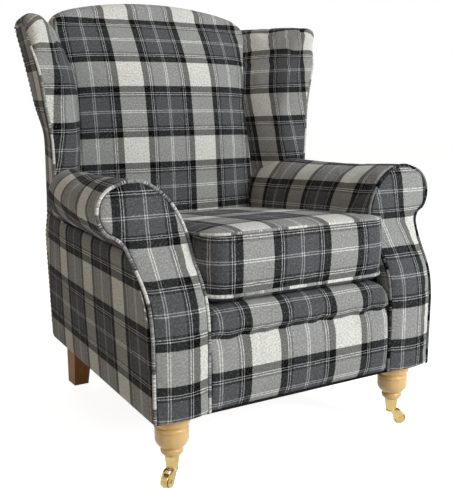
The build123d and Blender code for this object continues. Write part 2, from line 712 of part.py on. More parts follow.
def front_leg():
    """Turned about its axis: collar, belly, ring and a toe in the ferrule."""
    toe_top = ferrule_radius(FERRULE[1]) - FERRULE_WALL - GAP
    toe_low = ferrule_radius(TOE) - FERRULE_WALL - GAP
    seat = FERRULE[1] + GAP
    ring, neck, line = RING_HEIGHT, LEG_NECK, SCRIBED_LINE
    low, high = BELLY_HEIGHTS
    face = outline((0.0, TOE), (toe_low, TOE), (toe_top, seat), (LEG_TIP, seat),
                   ((LEG_TIP + 1.3, seat + 2.7), (neck, ring - 5.5)),
                   ((LEG_RING, ring), (neck + 0.6, ring + 6.5)), (neck, ring + 8.5),
                   ((neck + 0.6 * (LEG_BELLY - neck), ring + 14.5), (LEG_BELLY, low)),
                   (LEG_BELLY, high - 2 * line), (LEG_BELLY - line, high - line), (LEG_BELLY, high),
                   ((LEG_BELLY - 0.4, high + 5.0), (LEG_BELLY - 3.0, high + 8.0)),
                   (LEG_BELLY - 2.0, high + 10.0),
                   ((LEG_COLLAR, COLLAR_HEIGHT - 7.0), (LEG_COLLAR, COLLAR_HEIGHT)),
                   (LEG_COLLAR, BODY_BOTTOM), (0.0, BODY_BOTTOM))
    turned = revolve(Plane.XZ * face, axis=Axis.Z)
    pocket = Pos(0, 0, TOE + KINGPIN_POCKET[1] / 2) * Cylinder(KINGPIN_POCKET[0], KINGPIN_POCKET[1])
    return Pos(LEG_X, LEG_Y, 0) * (turned - pocket) - stud((LEG_X, LEG_Y), STUD_FIT)


def leg_studs():
    studs = [stud((LEG_X, LEG_Y)), stud(rear_stud_place())]
    return both(Compound(children=[s for piece in studs for s in piece.solids()]))


def ferrule():
    """A brass cup on the leg's toe, bored for the kingpin."""
    low, high = FERRULE
    floor = TOE - GAP
    cup = outline((KINGPIN_RADIUS + FIT, low), (FERRULE_RADII[0], low), (FERRULE_RADII[1], high),
                  (FERRULE_RADII[1] - FERRULE_WALL, high), (ferrule_radius(floor) - FERRULE_WALL, floor),
                  (KINGPIN_RADIUS + FIT, floor))
    return Pos(LEG_X, LEG_Y, 0) * revolve(Plane.XZ * cup, axis=Axis.Z)


def horn():
    """Kingpin, plate and two ears, drawn with the wheel towards +X."""
    top = FERRULE[0] - GAP
    radius, thick = HORN_PLATE
    plate = fillet(Cylinder(radius, thick).edges(), HORN_EDGE)
    plate = Pos(0, 0, top - thick / 2) * plate
    pin_top = TOE
    pin = Pos(0, 0, (top + pin_top) / 2 - 1) * Cylinder(KINGPIN_RADIUS, pin_top - top + 2)
    head = Pos(0, 0, pin_top + KINGPIN_HEAD[1] / 2) * Cylinder(KINGPIN_HEAD[0], KINGPIN_HEAD[1])
    inner = WHEEL_WIDTH / 2 + EAR_GAP
    cheek = CHEEK_RADIUS
    side = outline((-2.0, top - thick), (TRAIL - 0.8 * cheek, WHEEL_RADIUS - 0.6 * cheek),
                   ((TRAIL, WHEEL_RADIUS - cheek), (TRAIL + 0.8 * cheek, WHEEL_RADIUS - 0.6 * cheek)),
                   ((TRAIL + cheek, WHEEL_RADIUS), (TRAIL + 0.7 * cheek, WHEEL_RADIUS + 0.714 * cheek)),
                   ((TRAIL + 1.0, top - thick + 0.2), (radius - 3.0, top - 0.8)), (-2.0, top - 0.8))
    ear = along_y(side, inner, inner + EAR)
    ears = ear + mirror(ear, about=Plane.XZ)
    hole = Pos(TRAIL, 0, WHEEL_RADIUS) * (Rot(90, 0, 0) * Cylinder(AXLE_RADIUS + FIT, 4 * WHEEL_RADIUS))
    return plate + pin + head + ears - hole


def axle():
    """A pin through both ears, with a rounded head each side."""
    half = WHEEL_WIDTH / 2 + EAR_GAP + EAR + FIT
    shaft = Cylinder(AXLE_RADIUS, 2 * half)
    head = Pos(0, 0, half + AXLE_HEAD[1] / 2) * Cylinder(AXLE_HEAD[0], AXLE_HEAD[1])
    pin = shaft + head + mirror(head, about=Plane.XY)
    return Pos(TRAIL, 0, WHEEL_RADIUS) * (Rot(90, 0, 0) * pin)


def wheel():
    """A solid brass wheel with a rounded tread and a hub."""
    half, rim, bore = WHEEL_WIDTH / 2, WHEEL_RIM, AXLE_RADIUS + FIT
    low, edge = WHEEL_RADIUS - rim, half - rim
    knee = rim * (1 - cos(pi / 4))
    face = outline((bore, -half), (5.5, -half), (6.5, -half + 1.5), (low - 1.5, -half + 1.5), (low, -half),
                   ((WHEEL_RADIUS - knee, -half + knee), (WHEEL_RADIUS, -edge)), (WHEEL_RADIUS, edge),
                   ((WHEEL_RADIUS - knee, half - knee), (low, half)),
                   (low - 1.5, half - 1.5), (6.5, half - 1.5), (5.5, half), (bore, half))
    return Pos(TRAIL, 0, WHEEL_RADIUS) * (Rot(90, 0, 0) * revolve(Plane.XZ * face, axis=Axis.Z))


def placed_castor(piece, side, turn):
    """A castor piece turned about its kingpin and set under a front leg."""
    return Pos(side * LEG_X, LEG_Y, 0) * (Rot(0, 0, turn) * piece)


def rear_leg():
    """A square leg that tapers and kicks back, on a stud under the upright."""
    sections = []
    for height, (x, y) in ((0.0, REAR_LEG_FOOT), (BODY_BOTTOM, REAR_LEG_TOP)):
        sections.append((height, outline((x[0], y[0]), (x[1], y[0]), (x[1], y[1]), (x[0], y[1]))))
    return tapered(sections) - stud(rear_stud_place(), STUD_FIT)


# --- output -------------------------------------------------------------------------------
def pieces():
    """Every node's name and solids."""
    yield "front_rail", front_rail()
    yield "back_rail", back_rail()
    yield "back_tack_rail", tack_rail()
    yield "top_back_rail", top_rail()
    yield "corner_blocks", corner_blocks()
    yield "seat_springs", seat_springs()
    yield "spring_clips", spring_clips()
    yield "back_webbing", back_webbing()
    yield "front_border", front_border()
    yield "seat_deck", seat_deck()
    yield "inside_back", inside_back()
    yield "outside_back", outside_back()
    yield "dust_cover", dust_cover()
    yield "seat_cushion", seat_cushion()
    yield "cushion_bottom_piping", cushion_piping(CUSHION_SEAMS[0])
    yield "cushion_top_piping", cushion_piping(CUSHION_SEAMS[1])
    yield "leg_studs", leg_studs()
    pairs = (("front_post", front_post), ("back_upright", back_upright), ("side_rail", side_rail),
             ("arm_rail", arm_rail), ("wing_stile", wing_stile), ("wing_rail", wing_rail),
             ("arm_facing", arm_facing), ("facing_piping", facing_piping), ("arm_pad", arm_pad),
             ("outside_arm", outside_arm), ("wing_pad", wing_pad), ("outside_wing", outside_wing),
             ("front_leg", front_leg), ("leg_ferrule", ferrule), ("rear_leg", rear_leg))
    for name, make in pairs:
        solid = make()
        yield f"right_{name}", solid
        yield f"left_{name}", mirrored(solid)
    for label, side, turn in (("right", 1, RIGHT_CASTOR_TURN), ("left", -1, LEFT_CASTOR_TURN)):
        yield f"{label}_castor_horn", placed_castor(horn(), side, turn)
        yield f"{label}_castor_axle", placed_castor(axle(), side, turn)
        yield f"{label}_castor_wheel", placed_castor(wheel(), side, turn)


def main():
    os.makedirs("parts", exist_ok=True)
    for name, solid in pieces():
        export_step(solid, f"parts/{name}.step")
        box = solid.bounding_box()
        print(f"{name}: x {box.min.X:.1f}..{box.max.X:.1f} y {box.min.Y:.1f}..{box.max.Y:.1f} "
              f"z {box.min.Z:.1f}..{box.max.Z:.1f} solids {len(solid.solids())}")


if __name__ == "__main__":
    main()
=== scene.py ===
import json
import logging
import math
from dataclasses import dataclass, field
from enum import Enum
from typing import Any, Callable, Mapping, Optional, Sequence

import bmesh
import bpy
import numpy as np
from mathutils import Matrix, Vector, noise

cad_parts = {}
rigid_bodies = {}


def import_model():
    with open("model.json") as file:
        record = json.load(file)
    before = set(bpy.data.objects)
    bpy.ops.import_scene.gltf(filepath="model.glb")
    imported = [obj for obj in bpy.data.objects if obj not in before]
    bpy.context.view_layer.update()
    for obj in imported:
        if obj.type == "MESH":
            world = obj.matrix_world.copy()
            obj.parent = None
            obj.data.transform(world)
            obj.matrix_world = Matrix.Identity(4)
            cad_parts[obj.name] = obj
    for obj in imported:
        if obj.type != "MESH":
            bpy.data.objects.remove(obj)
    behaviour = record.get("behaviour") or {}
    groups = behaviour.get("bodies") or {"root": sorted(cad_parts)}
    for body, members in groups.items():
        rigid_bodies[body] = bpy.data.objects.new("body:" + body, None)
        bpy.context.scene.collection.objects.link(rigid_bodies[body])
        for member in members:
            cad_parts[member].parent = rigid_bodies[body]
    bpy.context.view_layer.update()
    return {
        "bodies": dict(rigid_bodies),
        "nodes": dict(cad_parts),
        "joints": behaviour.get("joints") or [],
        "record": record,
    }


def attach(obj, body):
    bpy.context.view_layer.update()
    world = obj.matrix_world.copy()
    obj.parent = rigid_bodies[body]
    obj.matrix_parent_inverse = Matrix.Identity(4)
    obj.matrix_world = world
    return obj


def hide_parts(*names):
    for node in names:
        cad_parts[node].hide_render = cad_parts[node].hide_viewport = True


# A fireside chair, dressed: tartan wool upholstery over padding, piped seams, turned front legs
# on castors and square rear legs. Metres: X across the chair, -Y its front, Z up. The pieces at
# the sides are drawn for +X and mirrored by a side of -1.

LOG = logging.getLogger("fireside_chair")
CLOTH_MAP = "cloth"            # UV map that holds the cloth's own coordinates, in metres
WADDING = 0.006                # thickness behind most covers, in metres
TWILL = 0.0021                 # from rib to rib of the weave, in metres
Point2 = tuple[float, float]
Point3 = tuple[float, float, float]
Mask = Callable[[np.ndarray], np.ndarray]      # from points, how firmly each is held, 0 to 1


class Body(str, Enum):
    """The moving bodies that the pieces ride on."""

    CHAIR = "chair"
    CUSHION = "seat_cushion"


class Slot(str, Enum):
    """The record's material slots that new pieces take their finish from."""

    TARTAN = "tartan"
    HESSIAN = "hessian"
    WEBBING = "webbing"
    DUST_CLOTH = "dust_cloth"


class Side(Enum):
    """Which side of the chair a piece is on, seen by someone who sits in it facing -Y."""

    RIGHT = 1
    LEFT = -1

    @property
    def label(self) -> str:
        """The prefix of the node names on this side."""
        return self.name.lower()


# --- curves ---------------------------------------------------------------------------------
def arc_points(start: Point2, middle: Point2, end: Point2, steps: int) -> np.ndarray:
    """Points on the circle through three points.

    Args:
        start: Where the arc starts. It isn't among the points returned.
        middle: A point on the way.
        end: Where the arc ends.
        steps: How many points to return.

    Returns:
        An array of steps rows, x and y.
    """
    a, b, c = (np.array(point, float) for point in (start, middle, end))
    scale = 2 * (a[0] * (b[1] - c[1]) + b[0] * (c[1] - a[1]) + c[0] * (a[1] - b[1]))
    squares = np.array([a @ a, b @ b, c @ c])
    centre = np.array([squares @ [b[1] - c[1], c[1] - a[1], a[1] - b[1]],
                       squares @ [c[0] - b[0], a[0] - c[0], b[0] - a[0]]]) / scale
    first, half, last = (math.atan2(*(point - centre)[::-1]) for point in (a, b, c))
    turn = (last - first) % math.tau
    if (half - first) % math.tau > turn:
        turn -= math.tau
    angles = first + turn * np.arange(1, steps + 1) / steps
    radius = np.linalg.norm(a - centre)
    return centre + radius * stacked(np.cos(angles), np.sin(angles))


def drawn(start: Point2, *steps: Any) -> np.ndarray:
    """A line of points through straight steps and arcs.

    Args:
        start: The first point.
        steps: Each is a point, for a line, or a middle and an end, for an arc.

    Returns:
        The points, closely spaced on the arcs.
    """
    points = [np.array([start], float)]
    for step in steps:
        if isinstance(step[0], tuple):
            points.append(arc_points(tuple(points[-1][-1]), step[0], step[1], 16))
        else:
            points.append(np.array([step], float))
    return np.concatenate(points)


def stacked(*axes: Any) -> np.ndarray:
    """Joins coordinates, stretched to one shape, into points on a new last axis."""
    return np.stack(np.broadcast_arrays(*axes), axis=-1)


def travelled(points: np.ndarray) -> np.ndarray:
    """The distance along a line of points, from its first."""
    steps = np.linalg.norm(np.diff(points, axis=0), axis=1)
    return np.concatenate([[0.0], np.cumsum(steps)])


def headings(points: np.ndarray, closed: bool = False) -> np.ndarray:
    """The direction in which a line of points runs.

    Args:
        points: The line.
        closed: Whether its last point is its first again.

    Returns:
        A unit vector for each point.
    """
    ahead = np.gradient(points, axis=0)
    if closed:
        ahead[0] = ahead[-1] = points[1] - points[-2]
    return ahead / np.linalg.norm(ahead, axis=1, keepdims=True)


def respaced(points: np.ndarray, count: int) -> np.ndarray:
    """The same line with evenly spaced points.

    Args:
        points: The line.
        count: How many points it gets.

    Returns:
        The new points.
    """
    along = travelled(points)
    wanted = np.linspace(0.0, along[-1], count)
    return stacked(*(np.interp(wanted, along, axis) for axis in points.T))


def smooth(knots: Sequence[float], values: Sequence[float]) -> Callable[[Any], Any]:
    """A smooth curve through known values that never overshoots them.

    Args:
        knots: Rising positions.
        values: The value at each.

    Returns:
        A function of a position or an array of them, constant outside the knots.
    """
    at, value = np.array(knots, float), np.array(values, float)
    gap = np.diff(at)
    slope = np.diff(value) / gap
    agree = slope[:-1] * slope[1:] > 0
    total = np.where(agree, slope[:-1] + slope[1:], 1.0)
    inner = np.where(agree, 2 * slope[:-1] * slope[1:] / total, 0.0)
    tangent = np.concatenate([[slope[0]], inner, [slope[-1]]])

    def curve(position: Any) -> Any:
        """The curve's value at a position.

        Args:
            position: One position or an array of them.

        Returns:
            The value at each.
        """
        position = np.clip(position, at[0], at[-1])
        index = np.clip(np.searchsorted(at, position) - 1, 0, len(gap) - 1)
        width = gap[index]
        t = (position - at[index]) / width
        rise = t * t * (3 - 2 * t)
        ease = width * t * (1 - t) * (tangent[index] * (1 - t) - tangent[index + 1] * t)
        return value[index] * (1 - rise) + value[index + 1] * rise + ease

    return curve


def ramped(value: Any, start: Any, width: Any) -> Any:
    """0 up to a start, then rising evenly to 1 over a width."""
    return np.clip((value - start) / width, 0.0, 1.0)


def arched(x: Any, top: float, half: float, rise: float) -> Any:
    """Height at x of an arc that is highest in its middle and falls by a rise at each half."""
    radius = (half ** 2 + rise ** 2) / (2 * rise)
    return top - radius + np.sqrt(radius ** 2 - np.asarray(x) ** 2)


def shifted(outline: np.ndarray, distance: float) -> np.ndarray:
    """A flat line of points moved to its left by a distance, square to itself."""
    ahead = headings(outline)
    return outline + distance * stacked(-ahead[:, 1], ahead[:, 0])


def distance_to(points: np.ndarray, line: np.ndarray) -> np.ndarray:
    """How far each point lies from a line of points, in the plane.

    Args:
        points: Any array whose last axis is a pair.
        line: The line's points, one pair a row.

    Returns:
        The distances, without the last axis.
    """
    start, step = line[:-1], np.diff(line, axis=0)
    offset = points[..., None, :] - start
    share = np.clip((offset * step).sum(-1) / np.maximum((step * step).sum(-1), 1e-12), 0.0, 1.0)
    return np.linalg.norm(offset - share[..., None] * step, axis=-1).min(axis=-1)


def rounded_rim(inward: Any, power: float = 2.0) -> Any:
    """Height of a padded edge: 0 at its rim and 1 from an inward distance of 1 on."""
    left = 1.0 - np.clip(inward, 0.0, 1.0)
    return (1.0 - left ** power) ** (1.0 / power)


# --- meshes ---------------------------------------------------------------------------------
@dataclass
class Patch:
    """A grid of points, rows by columns, with the cloth's coordinates at each."""

    points: np.ndarray
    cloth: np.ndarray

    @classmethod
    def measured(cls, points: np.ndarray, row: int, column: int) -> "Patch":
        """Lays cloth on a grid so that it keeps its length along both families of lines.

        Args:
            points: The grid.
            row: The row where the second coordinate is 0.
            column: The column where the first coordinate is 0.

        Returns:
            The grid with its cloth.
        """
        across = np.linalg.norm(np.diff(points, axis=1), axis=2)
        along = np.linalg.norm(np.diff(points, axis=0), axis=2)
        u = np.pad(np.cumsum(across, axis=1), ((0, 0), (1, 0)))
        v = np.pad(np.cumsum(along, axis=0), ((1, 0), (0, 0)))
        return cls(points, stacked(u - u[:, column:column + 1], v - v[row:row + 1, :]))


@dataclass(frozen=True)
class Lay:
    """How a piece is cut from the cloth: where the check falls and how far it is eased."""

    start: Point2 = (0.0, 0.0)
    ease: Point2 = (1.0, 1.0)

    def on(self, patch: Patch) -> Patch:
        """The same patch, cut this way."""
        return Patch(patch.points, patch.cloth * np.array(self.ease) + np.array(self.start))

    def over(self, points: np.ndarray, first: int, second: int) -> Patch:
        """A flat piece, cut this way, whose cloth follows two axes of its points."""
        return self.on(Patch(points, points[..., [first, second]]))


def linked(name: str, data: Any, place: Point3 = (0.0, 0.0, 0.0)) -> bpy.types.Object:
    """Puts a new object in the scene.

    Args:
        name: The object's name.
        data: Its mesh, lamp or camera.
        place: Where it stands.

    Returns:
        The object.
    """
    piece = bpy.data.objects.new(name, data)
    piece.location = place
    bpy.context.scene.collection.objects.link(piece)
    return piece


def written(mesh: bmesh.types.BMesh, data: bpy.types.Mesh) -> bpy.types.Mesh:
    """Stores an edited mesh and frees it.

    Args:
        mesh: The edited mesh.
        data: Where it is stored.

    Returns:
        The stored mesh.
    """
    mesh.to_mesh(data)
    mesh.free()
    return data


def sewn(name: str, patches: Sequence[Patch], inside: Point3,
         weld: float = 0.0004) -> bpy.types.Object:
    """Makes one mesh object of patches, joined where their edges meet.

    Args:
        name: The object's name.
        patches: The grids.
        inside: A point that the faces look away from.
        weld: Points nearer than this become one.

    Returns:
        The object.
    """
    mesh = bmesh.new()
    layer = mesh.loops.layers.uv.new(CLOTH_MAP)
    for patch in patches:
        rows, columns = patch.points.shape[:2]
        corners = [[mesh.verts.new(point) for point in line] for line in patch.points]
        for i in range(rows - 1):
            for j in range(columns - 1):
                places = ((i, j), (i, j + 1), (i + 1, j + 1), (i + 1, j))
                face = mesh.faces.new([corners[a][b] for a, b in places])
                for loop, (a, b) in zip(face.loops, places):
                    loop[layer].uv = patch.cloth[a, b]
    bmesh.ops.remove_doubles(mesh, verts=mesh.verts, dist=weld)
    bmesh.ops.dissolve_degenerate(mesh, edges=mesh.edges, dist=weld / 4)
    bmesh.ops.recalc_face_normals(mesh, faces=mesh.faces)
    centre = Vector(inside)
    if sum((face.calc_center_median() - centre).dot(face.normal) * face.calc_area()
           for face in mesh.faces) < 0:
        bmesh.ops.reverse_faces(mesh, faces=mesh.faces)
    return linked(name, written(mesh, bpy.data.meshes.new(name)))


def shaped(piece: bpy.types.Object, kind: str, **options: Any) -> None:
    """Replaces a piece's mesh by what a modifier makes of it.

    Args:
        piece: The object.
        kind: The modifier's type.
        options: The modifier's own settings.
    """
    modifier = piece.modifiers.new(kind, kind)
    for key, value in options.items():
        setattr(modifier, key, value)
    piece.update_tag()
    graph = bpy.context.evaluated_depsgraph_get()
    data = bpy.data.meshes.new_from_object(piece.evaluated_get(graph), depsgraph=graph,
                                           preserve_all_data_layers=True)
    piece.modifiers.clear()
    piece.data = data


def backed(piece: bpy.types.Object, thickness: float) -> None:
    """Gives a skin its wadding, on the side that its faces look away from."""
    shaped(piece, "SOLIDIFY", thickness=thickness, offset=-1.0)


def smoothed(piece: bpy.types.Object) -> None:
    """Shades a piece without its facets."""
    piece.data.polygons.foreach_set("use_smooth", [True] * len(piece.data.polygons))
    piece.data.update()


def softened(piece: bpy.types.Object) -> None:
    """Rounds a piece with one subdivision and smooth shading."""
    shaped(piece, "SUBSURF", levels=1, render_levels=1)
    smoothed(piece)


def corners_of(piece: bpy.types.Object) -> np.ndarray:
    """The points of a piece's mesh, one a row.

    Args:
        piece: The object.

    Returns:
        One point a row.
    """
    flat = np.empty(len(piece.data.vertices) * 3)
    piece.data.vertices.foreach_get("co", flat)
    return flat.reshape(-1, 3)


@dataclass(frozen=True)
class Stuffing:
    """Padding that blows a cover up, as cloth held along its seams.

    The pressure is its push, the reach is how far a point may move, and the slack is the share by
    which the cloth is wider than the form.
    """

    pressure: float
    reach: float
    slack: float = 0.012
    frames: int = 20
    quality: int = 5
    mass: float = 0.3
    stretch: float = 15.0
    shear: float = 5.0
    bending: float = 0.6

    def fill(self, piece: bpy.types.Object, held: Mask) -> None:
        """Lets a cover settle over its padding.

        Args:
            piece: The cover.
            held: What stays in place.
        """
        before = corners_of(piece)
        group = piece.vertex_groups.new(name="held")
        for index, weight in enumerate(np.clip(held(before), 0.0, 1.0)):
            group.add([index], float(weight), "REPLACE")
        cloth = piece.modifiers.new("cloth", "CLOTH")
        settings = {"vertex_group_mass": "held", "use_pressure": True, "quality": self.quality,
                    "uniform_pressure_force": self.pressure, "mass": self.mass,
                    "tension_stiffness": self.stretch, "compression_stiffness": self.stretch,
                    "shear_stiffness": self.shear, "bending_stiffness": self.bending,
                    "shrink_min": -self.slack}
        for key, value in settings.items():
            setattr(cloth.settings, key, value)
        cloth.settings.effector_weights.gravity = 0.0
        cloth.collision_settings.use_collision = False
        cloth.point_cache.frame_start = 1
        cloth.point_cache.frame_end = self.frames
        scene = bpy.context.scene
        for frame in range(1, self.frames + 1):
            scene.frame_set(frame)
        graph = bpy.context.evaluated_depsgraph_get()
        move = corners_of(piece.evaluated_get(graph)) - before
        far = np.linalg.norm(move, axis=1, keepdims=True)
        move *= self.reach * np.tanh(far / self.reach) / np.maximum(far, 1e-9)
        piece.modifiers.clear()
        piece.vertex_groups.clear()
        scene.frame_set(1)
        piece.data.vertices.foreach_set("co", (before + move).ravel())
        piece.data.update()


class Strip(Enum):
    """The thread that a piping's narrow strip is cut along, as a place across the check."""

    PALE = 0.1032
    LIGHT = 0.004
    DARK = 0.044


def tube(path: np.ndarray, radius: float, strip: Strip, along_start: float = 0.0,
         closed: bool = False, sides: int = 8) -> Patch:
    """A cord's cover: rings along a path, with the cloth's second coordinate along it.

    Args:
        path: The points along the middle.
        radius: Half the thickness.
        strip: What its cloth is cut along.
        along_start: The cloth's second coordinate at the first ring.
        closed: Whether the last point joins the first. If not, the ends are drawn in.
        sides: Faces round the tube.

    Returns:
        The cover.
    """
    ahead, along = headings(path, closed), travelled(path)
    upright = abs(ahead[0][2]) < 0.9
    side = np.cross(ahead[0], [0.0, 0.0, 1.0] if upright else [0.0, 1.0, 0.0])
    angles = np.linspace(0.0, math.tau, sides + 1)
    rings = []
    for centre, direction, left in zip(path, ahead, np.minimum(along, along[-1] - along)):
        side = side - direction * (side @ direction)
        side = side / np.linalg.norm(side)
        other = np.cross(direction, side)
        size = radius if closed else radius * float(rounded_rim((left + 0.0004) / radius))
        around = np.cos(angles)[:, None] * side + np.sin(angles)[:, None] * other
        rings.append(centre + size * around)
    if closed:
        rings[-1] = rings[0]
    across = strip.value + 0.001 * np.sin(angles)
    return Patch(np.array(rings), stacked(*np.meshgrid(across, along_start + along)))


# --- shader nodes ---------------------------------------------------------------------------
class Graph:
    """Adds nodes to one tree and joins them."""

    def __init__(self, tree: bpy.types.NodeTree) -> None:
        """Takes the tree to work in."""
        self.tree = tree

    def add(self, kind: str, sockets: Optional[Mapping[Any, Any]] = None,
            **settings: Any) -> bpy.types.Node:
        """Adds a node, sets it, and feeds its sockets.

        Args:
            kind: The node's type, without ShaderNode.
            sockets: What goes into its inputs, by name or number.
            settings: The node's own options.

        Returns:
            The node.
        """
        node = self.tree.nodes.new("ShaderNode" + kind)
        for name, value in settings.items():
            setattr(node, name, value)
        self.feed(node, sockets or {})
        return node

    def feed(self, node: bpy.types.Node, sockets: Mapping[Any, Any]) -> None:
        """Links a node's inputs to outputs, or sets their own values.

        Args:
            node: The node.
            sockets: Outputs, numbers or colours of three, by input name or number.
        """
        for name, value in sockets.items():
            socket = node.inputs[name]
            if isinstance(value, bpy.types.NodeSocket):
                self.tree.links.new(value, socket)
            else:
                socket.default_value = (*value, 1.0) if socket.type == "RGBA" else value

    def maths(self, operation: str, *values: Any, clamp: bool = False) -> bpy.types.NodeSocket:
        """The result of a Math node."""
        sockets = dict(enumerate(values))
        return self.add("Math", sockets, operation=operation, use_clamp=clamp).outputs[0]

    def scaled(self, value: Any, factor: Any, plus: Any,
               clamp: bool = False) -> bpy.types.NodeSocket:
        """A value times a factor plus another."""
        return self.maths("MULTIPLY_ADD", value, factor, plus, clamp=clamp)

    def about(self, value: Any, factor: Any, plus: Any,
              clamp: bool = False) -> bpy.types.NodeSocket:
        """How far a value is above a half, times a factor, plus another."""
        return self.scaled(self.maths("SUBTRACT", value, 0.5), factor, plus, clamp)

    def mixed(self, share: Any, first: Any, second: Any,
              blend: str = "MIX") -> bpy.types.NodeSocket:
        """A colour between two."""
        sockets = {0: share, 6: first, 7: second}
        return self.add("Mix", sockets, data_type="RGBA", blend_type=blend).outputs[2]

    def ramp(self, value: Any, stops: Sequence[tuple[float, Point3]]) -> bpy.types.NodeSocket:
        """A colour looked up by a value, each constant up to the next.

        Args:
            value: The output that picks the place.
            stops: Pairs of a place, 0 to 1, and the colour from there on.

        Returns:
            The colour.
        """
        node = self.add("ValToRGB", {0: value})
        band = node.color_ramp
        band.interpolation = "CONSTANT"
        while len(band.elements) < len(stops):
            band.elements.new(1.0)
        for element, (place, colour) in zip(band.elements, stops):
            element.position = place
            element.color = (*colour, 1.0)
        return node.outputs[0]

    def noise(self, vector: Any, scale: float, detail: float = 2.0,
              roughness: float = 0.5) -> bpy.types.NodeSocket:
        """The grey value of a Noise texture."""
        sockets = {"Vector": vector, "Scale": scale, "Detail": detail, "Roughness": roughness}
        return self.add("TexNoise", sockets).outputs[0]

    def stretched(self, vector: Any, scale: Point3) -> bpy.types.NodeSocket:
        """Coordinates multiplied axis by axis."""
        return self.add("VectorMath", {0: vector, 1: scale}, operation="MULTIPLY").outputs[0]

    def axes(self, vector: Any) -> Any:
        """The separate coordinates of a vector."""
        return self.add("SeparateXYZ", {0: vector}).outputs

    def twill(self, cloth: Any) -> bpy.types.NodeSocket:
        """The weave's diagonal ribs, as a wave from -1 to 1 over the cloth's coordinates."""
        diagonal = self.maths("ADD", *self.axes(cloth)[:2])
        return self.maths("SINE", self.maths("MULTIPLY", diagonal, math.tau / TWILL))

    def bump(self, height: Any, strength: float, distance: float,
             **under: Any) -> bpy.types.NodeSocket:
        """The Normal of a surface raised by a height, over another Normal if it is given."""
        sockets = {"Height": height, "Strength": strength, "Distance": distance, **under}
        return self.add("Bump", sockets).outputs[0]

    def lit_by(self, *rays: str) -> bpy.types.NodeSocket:
        """1 for rays of the named kinds and 0 for the rest.

        Args:
            rays: Names of the Light Path node's outputs.

        Returns:
            The value.
        """
        path = self.add("LightPath").outputs
        seen = path[rays[0]]
        for ray in rays[1:]:
            seen = self.maths("MAXIMUM", seen, path[ray])
        return seen


class Effect:
    """A shader node group that several finishes share."""

    def __init__(self, name: str, inputs: Mapping[str, Any],
                 draw: Callable[[Graph, Any], Mapping[str, Any]]) -> None:
        """Builds the group once.

        Args:
            name: The group's name.
            inputs: Default value by input name: a number, or three for a vector.
            draw: Adds nodes after the group's inputs and returns its outputs by name. The one
                named Color is a colour, the rest are numbers.
        """
        self.tree = bpy.data.node_groups.new(name, "ShaderNodeTree")
        for key, value in inputs.items():
            self.socket(key, "INPUT", isinstance(value, tuple), "Vector").default_value = value
        graph = Graph(self.tree)
        results = draw(graph, self.tree.nodes.new("NodeGroupInput").outputs)
        for key in results:
            self.socket(key, "OUTPUT", key == "Color", "Color")
        graph.feed(self.tree.nodes.new("NodeGroupOutput"), results)

    def socket(self, key: str, way: str, several: bool, kind: str) -> Any:
        """Adds an input or output: a number, or several as one of a kind."""
        kind = "NodeSocket" + (kind if several else "Float")
        return self.tree.interface.new_socket(key, in_out=way, socket_type=kind)

    def placed(self, graph: Graph, **values: Any) -> Any:
        """Puts the group in a material with its own values and gives its outputs."""
        return graph.add("Group", values, node_tree=self.tree).outputs


@dataclass(frozen=True)
class Sett:
    """The check's threads, from the middle of a light block to the middle of a slate one.

    Shades are as the eye reads them; each crossing is the mean of its two threads.
    """

    repeat: float = 0.212
    wander: float = 0.0052         # how unevenly the edges of the blocks run
    over: float = 0.16             # how far the twill brings up one of two threads
    gamma: float = 2.2
    light: Point3 = (0.83, 0.84, 0.825)
    black: Point3 = (0.015, 0.02, 0.025)
    line: Point3 = (0.85, 0.86, 0.87)
    dark: Point3 = (0.12, 0.122, 0.128)
    slate: Point3 = (0.325, 0.337, 0.350)

    def stops(self) -> list[tuple[float, Point3]]:
        """Where each shade starts, in shares of the half repeat.

        Returns:
            Pairs of a place, 0 to 1, and a shade.
        """
        half = self.repeat * 500.0
        edges = ((0.0, self.light), (35.0, self.black), (52.6, self.line), (54.4, self.black),
                 (58.2, self.line), (60.0, self.dark), (65.5, self.slate), (102.0, self.line),
                 (104.3, self.slate))
        return [(place / half, shade) for place, shade in edges]

    def draw(self, graph: Graph, given: Any) -> dict[str, Any]:
        """The woven check.

        Args:
            graph: Where the nodes go.
            given: The cloth's coordinates.

        Returns:
            Its colour.
        """
        cloth = given["Cloth"]
        uneven = graph.noise(cloth, 420.0, 3.0, 0.7)
        wander = graph.scaled(uneven, self.wander, -self.wander / 2)
        threads = []
        for place in graph.axes(cloth)[:2]:
            fold = graph.maths("PINGPONG", graph.maths("ADD", place, wander), self.repeat / 2)
            threads.append(graph.ramp(graph.maths("DIVIDE", fold, self.repeat / 2), self.stops()))
        seen = graph.mixed(graph.scaled(graph.twill(cloth), self.over, 0.5), *threads)
        return {"Color": graph.add("Gamma", {0: seen, 1: self.gamma}).outputs[0]}


def draw_nap(graph: Graph, given: Any) -> dict[str, Any]:
    """Felted yarn: uneven threads, pale flecks, the height of the weave and soft lumps.

    Args:
        graph: Where the nodes go.
        given: The cloth's coordinates and the depth of the yarn.

    Returns:
        The four values.
    """
    cloth = given["Cloth"]
    yarn = graph.maths("ADD", *(graph.noise(graph.stretched(cloth, thread), 1.0)
                                for thread in ((620.0, 70.0, 1.0), (70.0, 620.0, 1.0))))
    felt = graph.noise(cloth, 230.0, 3.0, 0.8)
    tone = graph.maths("SUBTRACT", graph.scaled(yarn, given["Yarn"], 1.0), given["Yarn"])
    tone = graph.about(felt, 2.1, tone)
    tone = graph.about(graph.noise(cloth, 14.0, 3.0, 0.6), 0.22, tone)
    fleck = graph.maths("SUBTRACT", graph.noise(cloth, 230.0, 3.0, 0.85), 0.54)
    return {"Tone": tone,
            "Fleck": graph.maths("MULTIPLY", fleck, 4.0, clamp=True),
            "Height": graph.scaled(graph.twill(cloth), 0.25, graph.maths("ADD", felt, yarn)),
            "Lumps": graph.noise(cloth, 17.0, 2.0, 0.45)}


